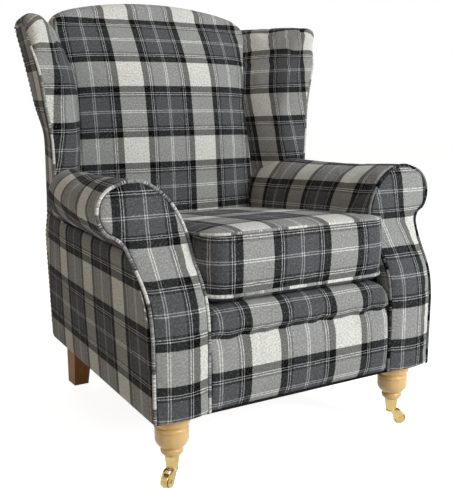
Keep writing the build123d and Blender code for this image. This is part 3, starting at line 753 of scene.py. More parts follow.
def draw_wear(graph: Graph, given: Any) -> dict[str, Any]:
    """Soft handling marks.

    Args:
        graph: Where the nodes go.
        given: A place on the piece.

    Returns:
        A mask of faint patches and one of fine scratches.
    """
    place = given["Place"]
    scratches = graph.noise(graph.stretched(place, (90.0, 90.0, 1400.0)), 1.0, 2.0, 0.7)
    return {"Patches": graph.scaled(graph.noise(place, 22.0, 4.0, 0.6), 2.4, -0.8, True),
            "Scratches": graph.scaled(scratches, 5.0, -2.9, True)}


def draw_threads(graph: Graph, given: Any) -> dict[str, Any]:
    """Plain weave: over and under threads of one pitch.

    Args:
        graph: Where the nodes go.
        given: The cloth's coordinates and the pitch.

    Returns:
        Which thread is over, and how uneven it is.
    """
    waves = []
    for place in graph.axes(given["Cloth"])[:2]:
        turns = graph.maths("MULTIPLY", graph.maths("DIVIDE", place, given["Pitch"]), math.pi)
        waves.append(graph.maths("SINE", turns))
    return {"Over": graph.scaled(graph.maths("MULTIPLY", *waves), 0.5, 0.5),
            "Uneven": graph.noise(given["Cloth"], 160.0, 3.0, 0.6)}


class Effects:
    """The shared node groups, each built once."""

    def __init__(self) -> None:
        """Builds them."""
        cloth = {"Cloth": (0.0, 0.0, 0.0)}
        self.sett = Effect("tartan_sett", cloth, Sett().draw)
        self.nap = Effect("wool_nap", {**cloth, "Yarn": 0.25}, draw_nap)
        self.wear = Effect("handling_wear", {"Place": (0.0, 0.0, 0.0)}, draw_wear)
        self.threads = Effect("plain_weave", {**cloth, "Pitch": 0.003}, draw_threads)


@dataclass(frozen=True)
class Finish:
    """What every material has: a name, and nodes that feed its Principled shader."""

    name: str

    def made(self, effects: Effects) -> bpy.types.Material:
        """Builds the material.

        Args:
            effects: The shared node groups.

        Returns:
            The material.
        """
        material = bpy.data.materials.new(self.name)
        material.use_nodes = True
        graph = Graph(material.node_tree)
        shader = material.node_tree.nodes["Principled BSDF"]
        graph.feed(shader, self.sockets(graph, effects))
        return material

    def sockets(self, graph: Graph, effects: Effects) -> dict[str, Any]:
        """What the shader is fed; each finish says its own.

        Args:
            graph: Where its nodes go.
            effects: The shared node groups.

        Returns:
            Outputs, numbers or colours by the shader's input name.
        """
        raise NotImplementedError


@dataclass(frozen=True)
class TartanWool(Finish):
    """Felted wool in the woven check, with soft sheen."""

    roughness: float = 0.92
    shine: float = 0.06
    sheen: float = 0.03
    relief: float = 0.0005
    lumps: float = 0.006
    flecks: float = 0.30
    fleck: Point3 = (0.50, 0.50, 0.50)

    def sockets(self, graph: Graph, effects: Effects) -> dict[str, Any]:
        """The check, darkened and flecked by its nap.

        Args:
            graph: Where its nodes go.
            effects: The shared node groups.

        Returns:
            Values by the shader's input name.
        """
        cloth = graph.add("UVMap", uv_map=CLOTH_MAP).outputs[0]
        check = effects.sett.placed(graph, Cloth=cloth)["Color"]
        nap = effects.nap.placed(graph, Cloth=cloth)
        shaded = graph.mixed(1.0, check, nap["Tone"], "MULTIPLY")
        flecks = graph.maths("MULTIPLY", nap["Fleck"], self.flecks)
        soft = graph.bump(nap["Lumps"], 0.5, self.lumps)
        return {"Base Color": graph.mixed(flecks, shaded, self.fleck),
                "Roughness": self.roughness, "Specular IOR Level": self.shine,
                "Sheen Weight": self.sheen, "Sheen Roughness": 0.5,
                "Normal": graph.bump(nap["Height"], 0.5, self.relief, Normal=soft)}


@dataclass(frozen=True)
class Wood(Finish):
    """Lacquered wood with its grain along one axis."""

    pale: Point3
    deep: Point3
    grain: Point3 = (70.0, 70.0, 3.0)
    coat: float = 0.4
    roughness: float = 0.38
    shine: float = 0.4

    def sockets(self, graph: Graph, effects: Effects) -> dict[str, Any]:
        """Figure, pores and a worn lacquer.

        Args:
            graph: Where its nodes go.
            effects: The shared node groups.

        Returns:
            Values by the shader's input name.
        """
        place = graph.add("TexCoord").outputs["Object"]
        figure = graph.noise(graph.stretched(place, self.grain), 1.0, 4.0, 0.6)
        fine = tuple(8.0 * size for size in self.grain)
        pores = graph.noise(graph.stretched(place, fine), 1.0, 2.0, 0.6)
        worn = effects.wear.placed(graph, Place=place)["Patches"]
        colour = graph.mixed(graph.about(figure, 2.2, 0.5, True), self.pale, self.deep)
        flecks = graph.maths("MULTIPLY", graph.scaled(pores, 3.0, -1.75, True), 0.35)
        dark = tuple(0.6 * shade for shade in self.deep)
        return {"Base Color": graph.mixed(flecks, colour, dark),
                "Roughness": graph.scaled(worn, 0.12, self.roughness),
                "Specular IOR Level": self.shine, "Coat Weight": self.coat,
                "Coat Roughness": 0.18, "Normal": graph.bump(pores, 0.25, 0.0002)}


@dataclass(frozen=True)
class Metal(Finish):
    """Bright or dull metal with handling marks."""

    colour: Point3
    tarnish: Point3
    roughness: float

    def sockets(self, graph: Graph, effects: Effects) -> dict[str, Any]:
        """Tarnish in patches, and fine scratches.

        Args:
            graph: Where its nodes go.
            effects: The shared node groups.

        Returns:
            Values by the shader's input name.
        """
        place = graph.add("TexCoord").outputs["Object"]
        wear = effects.wear.placed(graph, Place=place)
        dulled = graph.maths("MULTIPLY", wear["Patches"], 0.5)
        rough = graph.scaled(wear["Patches"], 0.12, self.roughness)
        return {"Base Color": graph.mixed(dulled, self.colour, self.tarnish),
                "Roughness": graph.scaled(wear["Scratches"], 0.10, rough), "Metallic": 1.0,
                "Normal": graph.bump(wear["Scratches"], 0.15, 0.0001)}


@dataclass(frozen=True)
class PlainCloth(Finish):
    """An unpatterned weave: hessian, webbing or dust cloth."""

    pale: Point3
    deep: Point3
    pitch: float = 0.003
    relief: float = 0.0008

    def sockets(self, graph: Graph, effects: Effects) -> dict[str, Any]:
        """Threads that are pale where they are over.

        Args:
            graph: Where its nodes go.
            effects: The shared node groups.

        Returns:
            Values by the shader's input name.
        """
        cloth = graph.add("UVMap", uv_map=CLOTH_MAP).outputs[0]
        weave = effects.threads.placed(graph, Cloth=cloth, Pitch=self.pitch)
        tone = graph.scaled(weave["Uneven"], 0.8, weave["Over"])
        tone = graph.maths("MULTIPLY", tone, 0.6, clamp=True)
        return {"Base Color": graph.mixed(tone, self.deep, self.pale), "Roughness": 0.95,
                "Specular IOR Level": 0.15,
                "Normal": graph.bump(weave["Over"], 0.6, self.relief)}


@dataclass(frozen=True)
class FloorPaint(Finish):
    """A dull pale floor that glows where the camera looks at it."""

    shade: Point3 = (0.80, 0.80, 0.80)
    glow: float = 0.88

    def sockets(self, graph: Graph, effects: Effects) -> dict[str, Any]:
        """Pale grey, with light for the camera alone.

        Args:
            graph: Where its nodes go.
            effects: The shared node groups.

        Returns:
            Values by the shader's input name.
        """
        seen = graph.lit_by("Is Camera Ray", "Is Glossy Ray")
        return {"Base Color": self.shade, "Roughness": 0.9, "Specular IOR Level": 0.0,
                "Emission Color": (1.0, 1.0, 1.0),
                "Emission Strength": graph.maths("MULTIPLY", seen, self.glow)}


class Finishes:
    """Every material: cloths by their slot, and hard ones by a word in a node's name."""

    def __init__(self) -> None:
        """Builds them."""
        cloths = {
            Slot.TARTAN: TartanWool("tartan_wool"),
            Slot.HESSIAN: PlainCloth("hessian", (0.42, 0.33, 0.21), (0.20, 0.15, 0.09)),
            Slot.WEBBING: PlainCloth("jute_webbing", (0.36, 0.29, 0.19), (0.14, 0.11, 0.07), 0.002),
            Slot.DUST_CLOTH: PlainCloth("black_dust_cloth", (0.035, 0.035, 0.037),
                                        (0.012, 0.012, 0.013), 0.001, 0.0002)}
        brass = Metal("polished_brass", (0.56, 0.43, 0.18), (0.20, 0.15, 0.06), 0.22)
        steel = Metal("spring_steel", (0.46, 0.46, 0.47), (0.20, 0.19, 0.18), 0.38)
        beech = Wood("lacquered_beech", (0.76, 0.53, 0.23), (0.64, 0.41, 0.15))
        brown = Wood("brown_stained_wood", (0.36, 0.155, 0.035), (0.24, 0.095, 0.020), coat=0.06,
                     roughness=0.5, shine=0.12)
        timber = Wood("sawn_frame_timber", (0.62, 0.46, 0.28), (0.45, 0.30, 0.16), coat=0.0,
                      roughness=0.75)
        hard = {("castor", "ferrule"): brass, ("front_leg",): beech, ("rear_leg",): brown,
                ("spring", "stud"): steel, ("",): timber}
        effects = Effects()
        self.cloths = {slot: finish.made(effects) for slot, finish in cloths.items()}
        self.hard = {words: finish.made(effects) for words, finish in hard.items()}
        self.floor = FloorPaint("pale_floor").made(effects)

    def of_node(self, name: str) -> bpy.types.Material:
        """The hard material of a node, by the first words that its name holds."""
        return next(material for words, material in self.hard.items()
                    if any(word in name for word in words))


# --- the chair's shared surfaces -------------------------------------------------------------
class ChairForm:
    """Outer surfaces and lines that neighbouring pieces follow, for the +X side."""

    FRONT = -0.400
    REAR = 0.300               # at the frame's underside
    BOTTOM = 0.160
    FOOT_X = (0.372, 0.340)    # half the width at the underside, front and rear
    SEAT = 0.388
    CREASE = 0.497
    RAKE = 0.100 / 0.845       # how far the outside back leans for each metre up
    CREST = 1.057
    CREST_RISE = 0.040
    CREST_SIDE = 0.310
    CREST_DROP = 0.014         # how far its ends round off
    INNER = 0.240
    PANEL = 0.008
    WING_FRONT = 0.121

    def __init__(self) -> None:
        """Draws the curves: each gives one coordinate at a height, or at a depth."""
        self.setback = smooth(
            (0.33, 0.37, 0.40, 0.42, 0.445, 0.47, 0.505, 0.545, 0.60, 0.65, 0.70),
            (0.0, 0.005, 0.0135, 0.024, 0.041, 0.059, 0.080, 0.0925, 0.099, 0.102, 0.103))
        heights = (self.CREASE, 0.560, 0.690, 0.785, 0.850, 0.905, 1.006)
        self.wing_x = smooth(heights, (0.359, 0.372, 0.377, 0.388, 0.398, 0.412, 0.440))
        self.wing_y = smooth(heights, (self.WING_FRONT, 0.121, 0.123, 0.135, 0.137, 0.142, 0.158))
        self.rear_x = smooth(heights, (0.329, 0.325, 0.320, 0.341, 0.352, 0.362, 0.381))
        levels = (self.SEAT, *heights[1:], 1.060)
        self.crease_x = smooth(levels, (0.268, 0.271, 0.261, 0.256, 0.260, 0.273, 0.300, 0.306))
        self.crease_y = smooth(levels, (0.205, 0.236, 0.248, 0.262, 0.271, 0.294, 0.340, 0.360))
        self.middle_y = smooth(levels, (0.196, 0.204, 0.212, 0.226, 0.238, 0.262, 0.322, 0.345))
        tops = (0.148, 0.151, 0.158, 0.170, 0.190, 0.400)
        self.wing_top = smooth(tops, (0.952, 0.970, 0.986, 0.995, 0.998, 1.006))

    def back_y(self, z: Any) -> Any:
        """The outside back, which leans away from the seat."""
        return self.REAR + (z - self.BOTTOM) * self.RAKE

    def foot_x(self, y: Any) -> Any:
        """The side of the body at its underside."""
        return np.interp(y, (self.FRONT, self.REAR), self.FOOT_X)

    def side_x(self, y: Any, z: Any) -> Any:
        """The side of the body below the arm's crease.

        Args:
            y: Depths.
            z: Heights.

        Returns:
            Its x at each.
        """
        low = self.foot_x(y)
        high = np.interp(y, (self.FRONT, self.WING_FRONT, 0.340), (0.388, 0.359, 0.329))
        share = ramped(z, self.BOTTOM, self.CREASE - self.BOTTOM)
        return low + (high - low) * share ** 1.5

    def behind(self, y: Any, z: Any) -> Any:
        """How far back a place on the wing is: 0 at its front, 1 at the outside back."""
        return ramped(y, self.wing_y(z), self.back_y(z) - self.wing_y(z))

    def wing_outer(self, y: Any, z: Any) -> Any:
        """The outer face of the wing, as an x."""
        return self.wing_x(z) + self.behind(y, z) * (self.rear_x(z) - self.wing_x(z))

    def crest(self, x: Any) -> Any:
        """The arched top of the back, which rounds off at its ends."""
        arch = arched(x, self.CREST, self.CREST_SIDE, self.CREST_RISE)
        return arch - self.CREST_DROP * (np.abs(x) / self.CREST_SIDE) ** 14

    def front_outline(self) -> np.ndarray:
        """The (x, z) outline of the arm front, from its inner foot round the scroll.

        Returns:
            The points.
        """
        return drawn((self.INNER, self.BOTTOM), (self.INNER, 0.330), (self.INNER, 0.500),
                     ((0.262, 0.573), (0.311, 0.625)), ((0.352, 0.641), (0.395, 0.634)),
                     ((0.442, 0.584), (0.420, 0.529)), ((0.399, 0.517), (0.388, 0.494)),
                     ((0.377, 0.440), (0.374, 0.400)), (self.FOOT_X[0], self.BOTTOM))


@dataclass
class Workroom:
    """What every piece needs: the shared form and the finishes."""

    form: ChairForm = field(default_factory=ChairForm)
    finishes: Finishes = field(default_factory=Finishes)

    def hand_over(self, piece: bpy.types.Object, slot: Slot, *nodes: str,
                  body: Body = Body.CHAIR, fill: Optional[float] = None) -> None:
        """Finishes a piece, puts it on its body and hides the nodes that it stands for.

        Args:
            piece: The finished mesh.
            slot: The record's slot of its finish.
            nodes: The CAD nodes that it replaces.
            body: What it moves with.
            fill: Not used.
        """
        piece.data.materials.clear()
        piece.data.materials.append(self.finishes.cloths[slot])
        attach(piece, body.value)
        if nodes:
            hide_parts(*nodes)
        LOG.info("%s: %d faces", piece.name, len(piece.data.polygons))

    def cover(self, name: str, patches: Sequence[Patch], inside: Point3, node: str,
              stuffing: Optional[Stuffing] = None, held: Optional[Mask] = None,
              wadding: float = WADDING, fill: float = 0.85, body: Body = Body.CHAIR) -> None:
        """Makes and hands over a padded piece in tartan.

        Args:
            name: The piece's name.
            patches: What it is sewn from.
            inside: A point that its faces look away from.
            node: The CAD node that it replaces.
            stuffing: What blows it up, if anything does.
            held: What stays in place then.
            wadding: The thickness behind it, or 0 for a closed cover.
            fill: How firmly it is stuffed.
            body: What it moves with.
        """
        piece = sewn(name, patches, inside)
        if stuffing and held:
            stuffing.fill(piece, held)
        if wadding:
            backed(piece, wadding)
        softened(piece)
        self.hand_over(piece, Slot.TARTAN, node, body=body, fill=fill)

    def cord(self, name: str, path: np.ndarray, radius: float, strip: Strip, *nodes: str,
             along: float = 0.0, closed: bool = False, body: Body = Body.CHAIR) -> None:
        """Makes and hands over a piping in tartan.

        Args:
            name: The piece's name.
            path: The points along its middle.
            radius: Half its thickness.
            strip: What its cloth is cut along.
            nodes: The CAD nodes that it replaces.
            along: The cloth's coordinate at its first point.
            closed: Whether it is a ring.
            body: What it moves with.
        """
        cover = tube(path, radius, strip, along, closed)
        piece = sewn(name, [cover], tuple(path.mean(axis=0)), 0.0001)
        smoothed(piece)
        self.hand_over(piece, Slot.TARTAN, *nodes, body=body, fill=1.0)


# --- seat ------------------------------------------------------------------------------------
@dataclass
class SeatCushion:
    """The loose box cushion: crowned faces, swelling boxing and two piped seams."""

    room: Workroom
    half: float = 0.234
    front: float = -0.392
    rear: float = 0.190
    corner: float = 0.046
    seams: Point2 = (0.401, 0.530)
    rest: float = 0.3884
    crown: float = 0.012
    sink: float = 0.050
    boxing: float = 0.004
    cord: float = 0.0046
    tuck: float = 0.0015           # how far the cords lie inside the outline
    base_inset: float = 0.010
    across: int = 40
    along: int = 48
    rows: int = 12
    stuffing: Stuffing = Stuffing(4.0, 0.006, 0.014)
    top_lay: Lay = Lay()
    boxing_lay: Lay = Lay()

    def plan(self, grow: float, spacing: int) -> np.ndarray:
        """The rounded outline, as closed (x, y) points from the middle of the front.

        Args:
            grow: How far outside the seam it runs.
            spacing: How many points it gets.

        Returns:
            The points.
        """
        half, front, rear = self.half + grow, self.front - grow, self.rear + grow
        r = self.corner + grow
        knee = r * (1 - math.sqrt(0.5))
        line = drawn((0.0, front), (half - r, front),
                     ((half - knee, front + knee), (half, front + r)), (half, rear - r),
                     ((half - knee, rear - knee), (half - r, rear)), (-half + r, rear),
                     ((-half + knee, rear - knee), (-half, rear - r)), (-half, front + r),
                     ((-half + knee, front + knee), (-half + r, front)), (0.0, front))
        return respaced(line, spacing)

    def high(self, y: Any) -> Any:
        """Height of the upper seam, which falls towards the back where the cushion is sat down."""
        return self.seams[1] - self.sink * ramped(y, self.front, self.rear - self.front)

    def face(self, height: Callable[[Any], Any], crown: float, inset: float) -> Patch:
        """A top or bottom face, drawn from the four sides of the outline.

        Args:
            height: Its height at its edge, from y.
            crown: How much higher its middle is.
            inset: How far its edge lies inside the seam.

        Returns:
            The face.
        """
        across, along = self.across, self.along
        ring = np.roll(self.plan(-inset, 2 * (across + along) + 1)[:-1], across // 2, axis=0)
        south, east = ring[:across + 1], ring[across:across + along + 1]
        north = ring[across + along:2 * across + along + 1][::-1]
        west = np.concatenate([ring[2 * across + along:], ring[:1]])[::-1]
        s = np.linspace(0, 1, across + 1)[None, :, None]
        t = np.linspace(0, 1, along + 1)[:, None, None]
        flat = ((1 - t) * south[None] + t * north[None] + (1 - s) * west[:, None]
                + s * east[:, None] - (1 - s) * (1 - t) * south[0] - s * (1 - t) * south[-1]
                - (1 - s) * t * north[0] - s * t * north[-1])
        a, b = np.abs(2 * s[..., 0] - 1), np.abs(2 * t[..., 0] - 1)
        z = height(flat[..., 1]) + crown * (1 - a ** 3) ** 0.5 * (1 - b ** 3) ** 0.5
        points = np.concatenate([flat, z[..., None]], axis=2)
        return self.top_lay.on(Patch(points, flat - [0.0, self.front]))

    def ring(self, grow: float, height: Any) -> np.ndarray:
        """A closed row of the walls, outside the seam by a distance and at a height."""
        plan = self.plan(grow, 2 * (self.across + self.along) + 1)
        return stacked(*plan.T, height)

    def walls(self) -> list[Patch]:
        """The boxing between the seams, and the skirt that turns in below it.

        Returns:
            The two patches.
        """
        low, rim = self.seams[0], self.ring(0.0, 0.0)
        deep = self.high(rim[:, 1]) - low
        levels = np.linspace(0, 1, self.rows + 1)
        bulge = self.boxing * (1 - (2 * levels - 1) ** 2)
        walls = np.array([self.ring(grow, low + deep * level)
                          for grow, level in zip(bulge, levels)])
        along = travelled(rim)
        along = along - along[-1] * (along > along[-1] / 2)
        cloth = stacked(along, walls[..., 2] - (low + self.seams[1]) / 2)
        skirt = np.array([self.ring(-inset, z) for inset, z in (
            (self.base_inset, self.rest), (0.004, (self.rest + low) / 2 - 0.001), (0.0, low))])
        turned = stacked(*np.meshgrid(along, np.linspace(-0.02, 0.0, len(skirt))))
        return [self.boxing_lay.on(Patch(walls, cloth)), self.top_lay.on(Patch(skirt, turned))]

    def build(self) -> None:
        """Makes the cushion and its two pipings."""
        top = self.face(self.high, self.crown, 0.0)
        bottom = self.face(lambda y: self.rest + 0.0 * y, 0.0, self.base_inset)
        self.room.cover("cushion_cover", [top, bottom, *self.walls()], (0.0, -0.1, 0.46),
                        "seat_cushion", self.stuffing, self.held, wadding=0.0, fill=0.8,
                        body=Body.CUSHION)
        plan = self.plan(-self.tuck, 260)
        for label, strip, radius, height in (
                ("bottom", Strip.PALE, self.cord, self.seams[0]),
                ("top", Strip.LIGHT, 0.7 * self.cord, self.high(plan[:, 1]))):
            self.room.cord(f"cushion_{label}_cord", stacked(*plan.T, height), radius, strip,
                           f"cushion_{label}_piping", along=self.boxing_lay.start[0],
                           closed=True, body=Body.CUSHION)

    def held(self, points: np.ndarray) -> np.ndarray:
        """The seams and the underside stay where they are.

        Args:
            points: The cover's points, one a row.

        Returns:
            1 where a point is held, 0 where it is free.
        """
        rim = distance_to(points[:, :2], self.plan(0.0, 120)) < 0.002
        seam = rim & (np.abs(points[:, 2] - self.high(points[:, 1])) < 0.0008)
        return np.where(seam | (points[:, 2] < self.seams[0] + 0.0005), 1.0, 0.0)


@dataclass
class SeatFront:
    """The padded edge under the cushion and the flat border below it."""

    room: Workroom
    half: float = 0.2395
    border_y: float = -0.394
    crease: Point2 = (-0.3845, 0.316)
    end_round: float = 0.040
    end_drop: float = 0.030
    end_inset: float = 0.010
    pucker: float = 0.007
    pucker_reach: float = 0.022
    pucker_turns: float = 34.0     # how closely the puckers follow each other
    stuffing: Stuffing = Stuffing(3.0, 0.004, 0.008)
    lay: Lay = Lay()

    def section(self) -> np.ndarray:
        """The (y, z) section, from under the frame up and over the roll.

        Returns:
            The points, from the lower edge to the upper.
        """
        y, z = self.crease
        lower = drawn((-0.352, 0.1585), (-0.384, 0.1590),
                      ((-0.391, 0.1615), (self.border_y, 0.168)),
                      ((self.border_y - 0.004, 0.235), (self.border_y, z - 0.016)),
                      ((self.border_y + 0.003, z - 0.006), (y, z)))
        upper = drawn((y, z), ((y - 0.013, z + 0.009), (y - 0.0165, z + 0.031)),
                      ((y - 0.008, z + 0.053), (y + 0.018, z + 0.063)), (y + 0.066, z + 0.066))
        return np.concatenate([respaced(lower, 19), respaced(upper, 15)[1:]])

    def build(self) -> None:
        """Makes the border and its roll as one cover with a stitched crease."""
        section = self.section()
        x = np.linspace(-self.half, self.half, 81)
        height = section[:, 1]
        reach = np.clip((self.half - np.abs(x)) / self.end_round, 0.0, 1.0)
        fall = 1.0 - np.sqrt(1.0 - (1.0 - reach) ** 2)
        above = ramped(height, self.crease[1], 0.063)[:, None]
        z = height[:, None] - self.end_drop * above * fall
        y = section[:, 0][:, None] + self.end_inset * (above > 0) * fall * np.sqrt(above)
        points = stacked(x, y, z)
        patch = Patch.measured(points, 18, 40)
        patch.cloth[..., 0] = points[..., 0]
        near = np.exp(-np.abs(height - self.crease[1]) / self.pucker_reach)[:, None]
        uneven = np.array([noise.noise(Vector((place * self.pucker_turns, 0.0, 3.7)))
                           for place in x])
        patch.points = points + (self.pucker * near * uneven)[..., None] * [0.0, 1.0, 0.6]
        self.room.cover("front_border_cover", [self.lay.on(patch)], (0.0, -0.30, 0.27),
                        "front_border", self.stuffing, self.held)

    def held(self, points: np.ndarray) -> np.ndarray:
        """The crease, the ends and the turned-in edges stay where they are.

        Args:
            points: The cover's points, one a row.

        Returns:
            1 where a point is held, 0 where it is free.
        """
        crease = np.hypot(points[:, 1] - self.crease[0], points[:, 2] - self.crease[1]) < 0.008
        ends = np.abs(points[:, 0]) > self.half - 0.002
        edges = (points[:, 2] < 0.1592) | (points[:, 1] > -0.335)
        return (crease | ends | edges).astype(float)


@dataclass
class SeatDeck:
    """Hessian over the springs, under the cushion."""

    room: Workroom
    half: float = 0.2393
    front: float = -0.3195
    rear: float = 0.262
    top: float = 0.3878
    sag: float = 0.006
    thickness: float = 0.044

    def build(self) -> None:
        """Makes the deck, which sags a little between the rails."""
        x, y = np.meshgrid(np.linspace(-self.half, self.half, 33),
                           np.linspace(self.front, self.rear, 37))
        a = x / self.half
        b = (y - (self.front + self.rear) / 2) / (self.rear - self.front) * 2
        z = self.top - self.sag * (1 - a ** 2) * (1 - b ** 2)
        patch = Lay().over(stacked(x, y, z), 0, 1)
        deck = sewn("seat_platform", [patch], (0.0, 0.0, 0.0))
        backed(deck, self.thickness)
        softened(deck)
        self.room.hand_over(deck, Slot.HESSIAN, "seat_deck", fill=0.9)


# --- arms ------------------------------------------------------------------------------------
@dataclass
class ArmFront:
    """The padded scroll at the front of an arm and the piping round it."""

    room: Workroom
    side: Side
    inset: float = 0.0062
    crown: float = 0.010
    depth: float = 0.020
    cord: float = 0.0037
    cord_inset: float = 0.0036
    cord_depth: float = 0.0042
    rim: float = 0.0035            # how far the rim lies behind the front
    rim_round: float = 0.011
    rows: int = 64
    columns: int = 20
    stuffing: Stuffing = Stuffing(3.0, 0.005)
    lay: Lay = Lay()
    strip: Strip = Strip.PALE

    def build(self) -> None:
        """Makes the facing and its piping."""
        form, sign, label = self.room.form, self.side.value, self.side.label
        outline = respaced(form.front_outline(), 240)
        edge = shifted(outline, -self.inset)
        self.room.cover(f"{label}_facing_cover", [self.face(edge)], (sign * 0.32, 0.0, 0.40),
                        f"{label}_arm_facing", self.stuffing,
                        lambda at: (distance_to(np.abs(at[:, [0, 2]]), edge) < 0.003).astype(float),
                        wadding=self.depth)
        x, z = shifted(outline, -self.cord_inset).T
        path = stacked(sign * x, form.FRONT + form.setback(z) + self.cord_depth, z)
        self.room.cord(f"{label}_facing_cord", path, self.cord, self.strip,
                       f"{label}_facing_piping")

    def face(self, edge: np.ndarray) -> Patch:
        """The crowned front inside an outline.

        Args:
            edge: The (x, z) outline, from its inner foot round to its outer foot.

        Returns:
            The front, cut from the cloth.
        """
        form, middle = self.room.form, self.columns // 2
        top = int(np.argmax(edge[:, 1]))
        inner, outer = edge[:top + 1], edge[top:][::-1]
        share = 1.0 - (1.0 - np.linspace(0.0, 1.0, self.rows + 1)) ** 1.5
        level = form.BOTTOM + 0.001 + (edge[top, 1] - 0.0008 - form.BOTTOM) * share
        left, right = (np.interp(level, np.maximum.accumulate(line[:, 1]), line[:, 0])[:, None]
                       for line in (inner, outer))
        even = np.linspace(0, 1, self.columns + 1)
        bunched = (1 - np.cos(np.linspace(0, math.pi, self.columns + 1))) / 2
        x, z = np.broadcast_arrays(left + (right - left) * (bunched * 0.5 + even * 0.5),
                                   level[:, None])
        gap = distance_to(stacked(x, z), edge)
        swell = self.crown * (1 - np.exp(-gap / self.rim_round))
        y = form.FRONT + form.setback(z) + self.rim - swell
        patch = Patch.measured(stacked(self.side.value * x, y, z), 0, middle)
        patch.cloth[..., 0] = patch.points[..., 0]
        patch.cloth[..., 1] = patch.cloth[:, middle:middle + 1, 1]
        return self.lay.on(patch)


@dataclass
class Arm:
    """The inside arm, its roll and the outside panel below."""

    room: Workroom
    side: Side
    rear: float = 0.246
    roll_end: Point2 = (0.108, 0.150)
    wall: float = 0.362            # from here outwards the roll closes in to its end
    fore: tuple[float, ...] = (0.2412, 0.4405, 0.6425, 0.386)      # its section at the front
    aft: tuple[float, ...] = (0.2450, 0.3960, 0.6275, 0.352)       # its section at the wing
    roll_gap: float = 0.0075       # from the front's plane to the roll
    panel_gap: float = 0.0078
    swell: float = 0.004           # of the outer panel
    dip: float = 0.006             # how deep the panel's top goes into the crease
    dip_height: float = 0.014
    stuffing: Stuffing = Stuffing(2.5, 0.005)
    lay: Lay = Lay()
    panel_lay: Lay = Lay()

    def section(self, inner: float, outer: float, top: float, crease: float,
                count: int) -> np.ndarray:
        """The (x, z) section from the seat up the inside arm, over the roll and into the crease.

        Args:
            inner: The x of the inside arm.
            outer: The x of the roll's outside.
            top: The height of the roll.
            crease: The x of the crease.
            count: How many points it gets.

        Returns:
            The points.
        """
        form = self.room.form
        wide = (outer - inner) / 0.202
        high = (top - form.CREASE) / (0.641 - form.CREASE)

        def at(x: float, z: float) -> Point2:
            """A point of the roll, fitted to its width and height."""
            return inner + wide * x, form.CREASE + high * (z - form.CREASE)

        line = drawn((inner, 0.332), at(0.0, 0.500), (at(0.022, 0.573), at(0.071, 0.625)),
                     (at(0.112, 0.641), at(0.155, 0.634)), (at(0.202, 0.584), at(0.180, 0.529)),
                     (at(0.159, 0.515), (crease, form.CREASE + 0.001)))
        return respaced(line, count)

    def build(self) -> None:
        """Makes the padded arm and its outside panel."""
        self.build_roll()
        self.build_panel()

    def build_roll(self) -> None:
        """The cover from the seat over the roll, from the facing back past the wing's front."""
        form, label = self.room.form, self.side.label
        around, along = 56, 46
        fore = self.section(*self.fore, around + 1)
        aft = self.section(*self.aft, around + 1)
        front = form.FRONT + form.setback(fore[:, 1]) + self.roll_gap
        outward = ramped(fore[:, 0], 0.330, 0.040)
        last = self.rear + (self.roll_end[1] - self.rear) * outward * (fore[:, 1] > form.CREASE)
        y = front + np.linspace(0.0, 1.0, along + 1)[:, None] * (last - front)
        share = np.clip((y - form.FRONT) / (form.WING_FRONT - form.FRONT), 0.0, 1.3)
        x, z = (start + share * step for start, step in zip(fore.T, (aft - fore).T))
        past = ramped(y, self.roll_end[0], self.roll_end[1] - self.roll_end[0])
        x = np.where(x > self.wall, self.wall + (x - self.wall) * np.sqrt(1 - past ** 2), x)
        points = stacked(self.side.value * x, y, z)
        around_arm = Patch.measured(points, 0, around // 2).cloth[..., 0]
        patch = self.lay.on(Patch(points, stacked(points[..., 1], around_arm)))
        self.room.cover(f"{label}_arm_cover", [patch], (self.side.value * 0.34, -0.10, 0.50),
                        f"{label}_arm_pad", self.stuffing, self.held)

    def held(self, points: np.ndarray) -> np.ndarray:
        """The front edge, the crease, the hidden rear and the foot stay where they are.

        Args:
            points: The cover's points, one a row.

        Returns:
            1 where a point is held, 0 where it is free.
        """
        form = self.room.form
        front = points[:, 1] - form.FRONT - form.setback(points[:, 2]) < 0.010
        crease = (np.abs(points[:, 0]) > 0.345) & (points[:, 2] < form.CREASE + 0.004)
        rear = points[:, 1] > self.roll_end[1] - 0.004
        return (front | crease | rear | (points[:, 2] < 0.37)).astype(float)

    def build_panel(self) -> None:
        """The outside arm, stretched from the crease to the frame's underside."""
        form, label = self.room.form, self.side.label
        z = np.concatenate([[0.1585, 0.1590, 0.1635], np.linspace(0.172, form.CREASE, 31)])
        tuck = np.concatenate([[0.018, 0.003, 0.0006], np.zeros(31)])
        t = np.linspace(0.0, 1.0, 55)[None, :]
        front = form.FRONT + form.setback(z) + self.panel_gap
        rear = form.back_y(z) - form.PANEL
        y = front[:, None] + t * (rear - front)[:, None]
        level = np.broadcast_to(z[:, None], y.shape)
        up = ramped(level, form.BOTTOM, form.CREASE - form.BOTTOM)
        swell = self.swell * np.sin(math.pi * up) * np.sin(math.pi * t)
        dip = self.dip * np.clip(1 - (form.CREASE - level) / self.dip_height, 0.0, 1.0)
        x = form.side_x(y, level) - tuck[:, None] + swell - dip
        patch = self.panel_lay.over(stacked(self.side.value * x, y, level), 1, 2)
        self.room.cover(f"{label}_outside_arm_cover", [patch], (0.0, 0.0, 0.33),
                        f"{label}_outside_arm", fill=1.0)


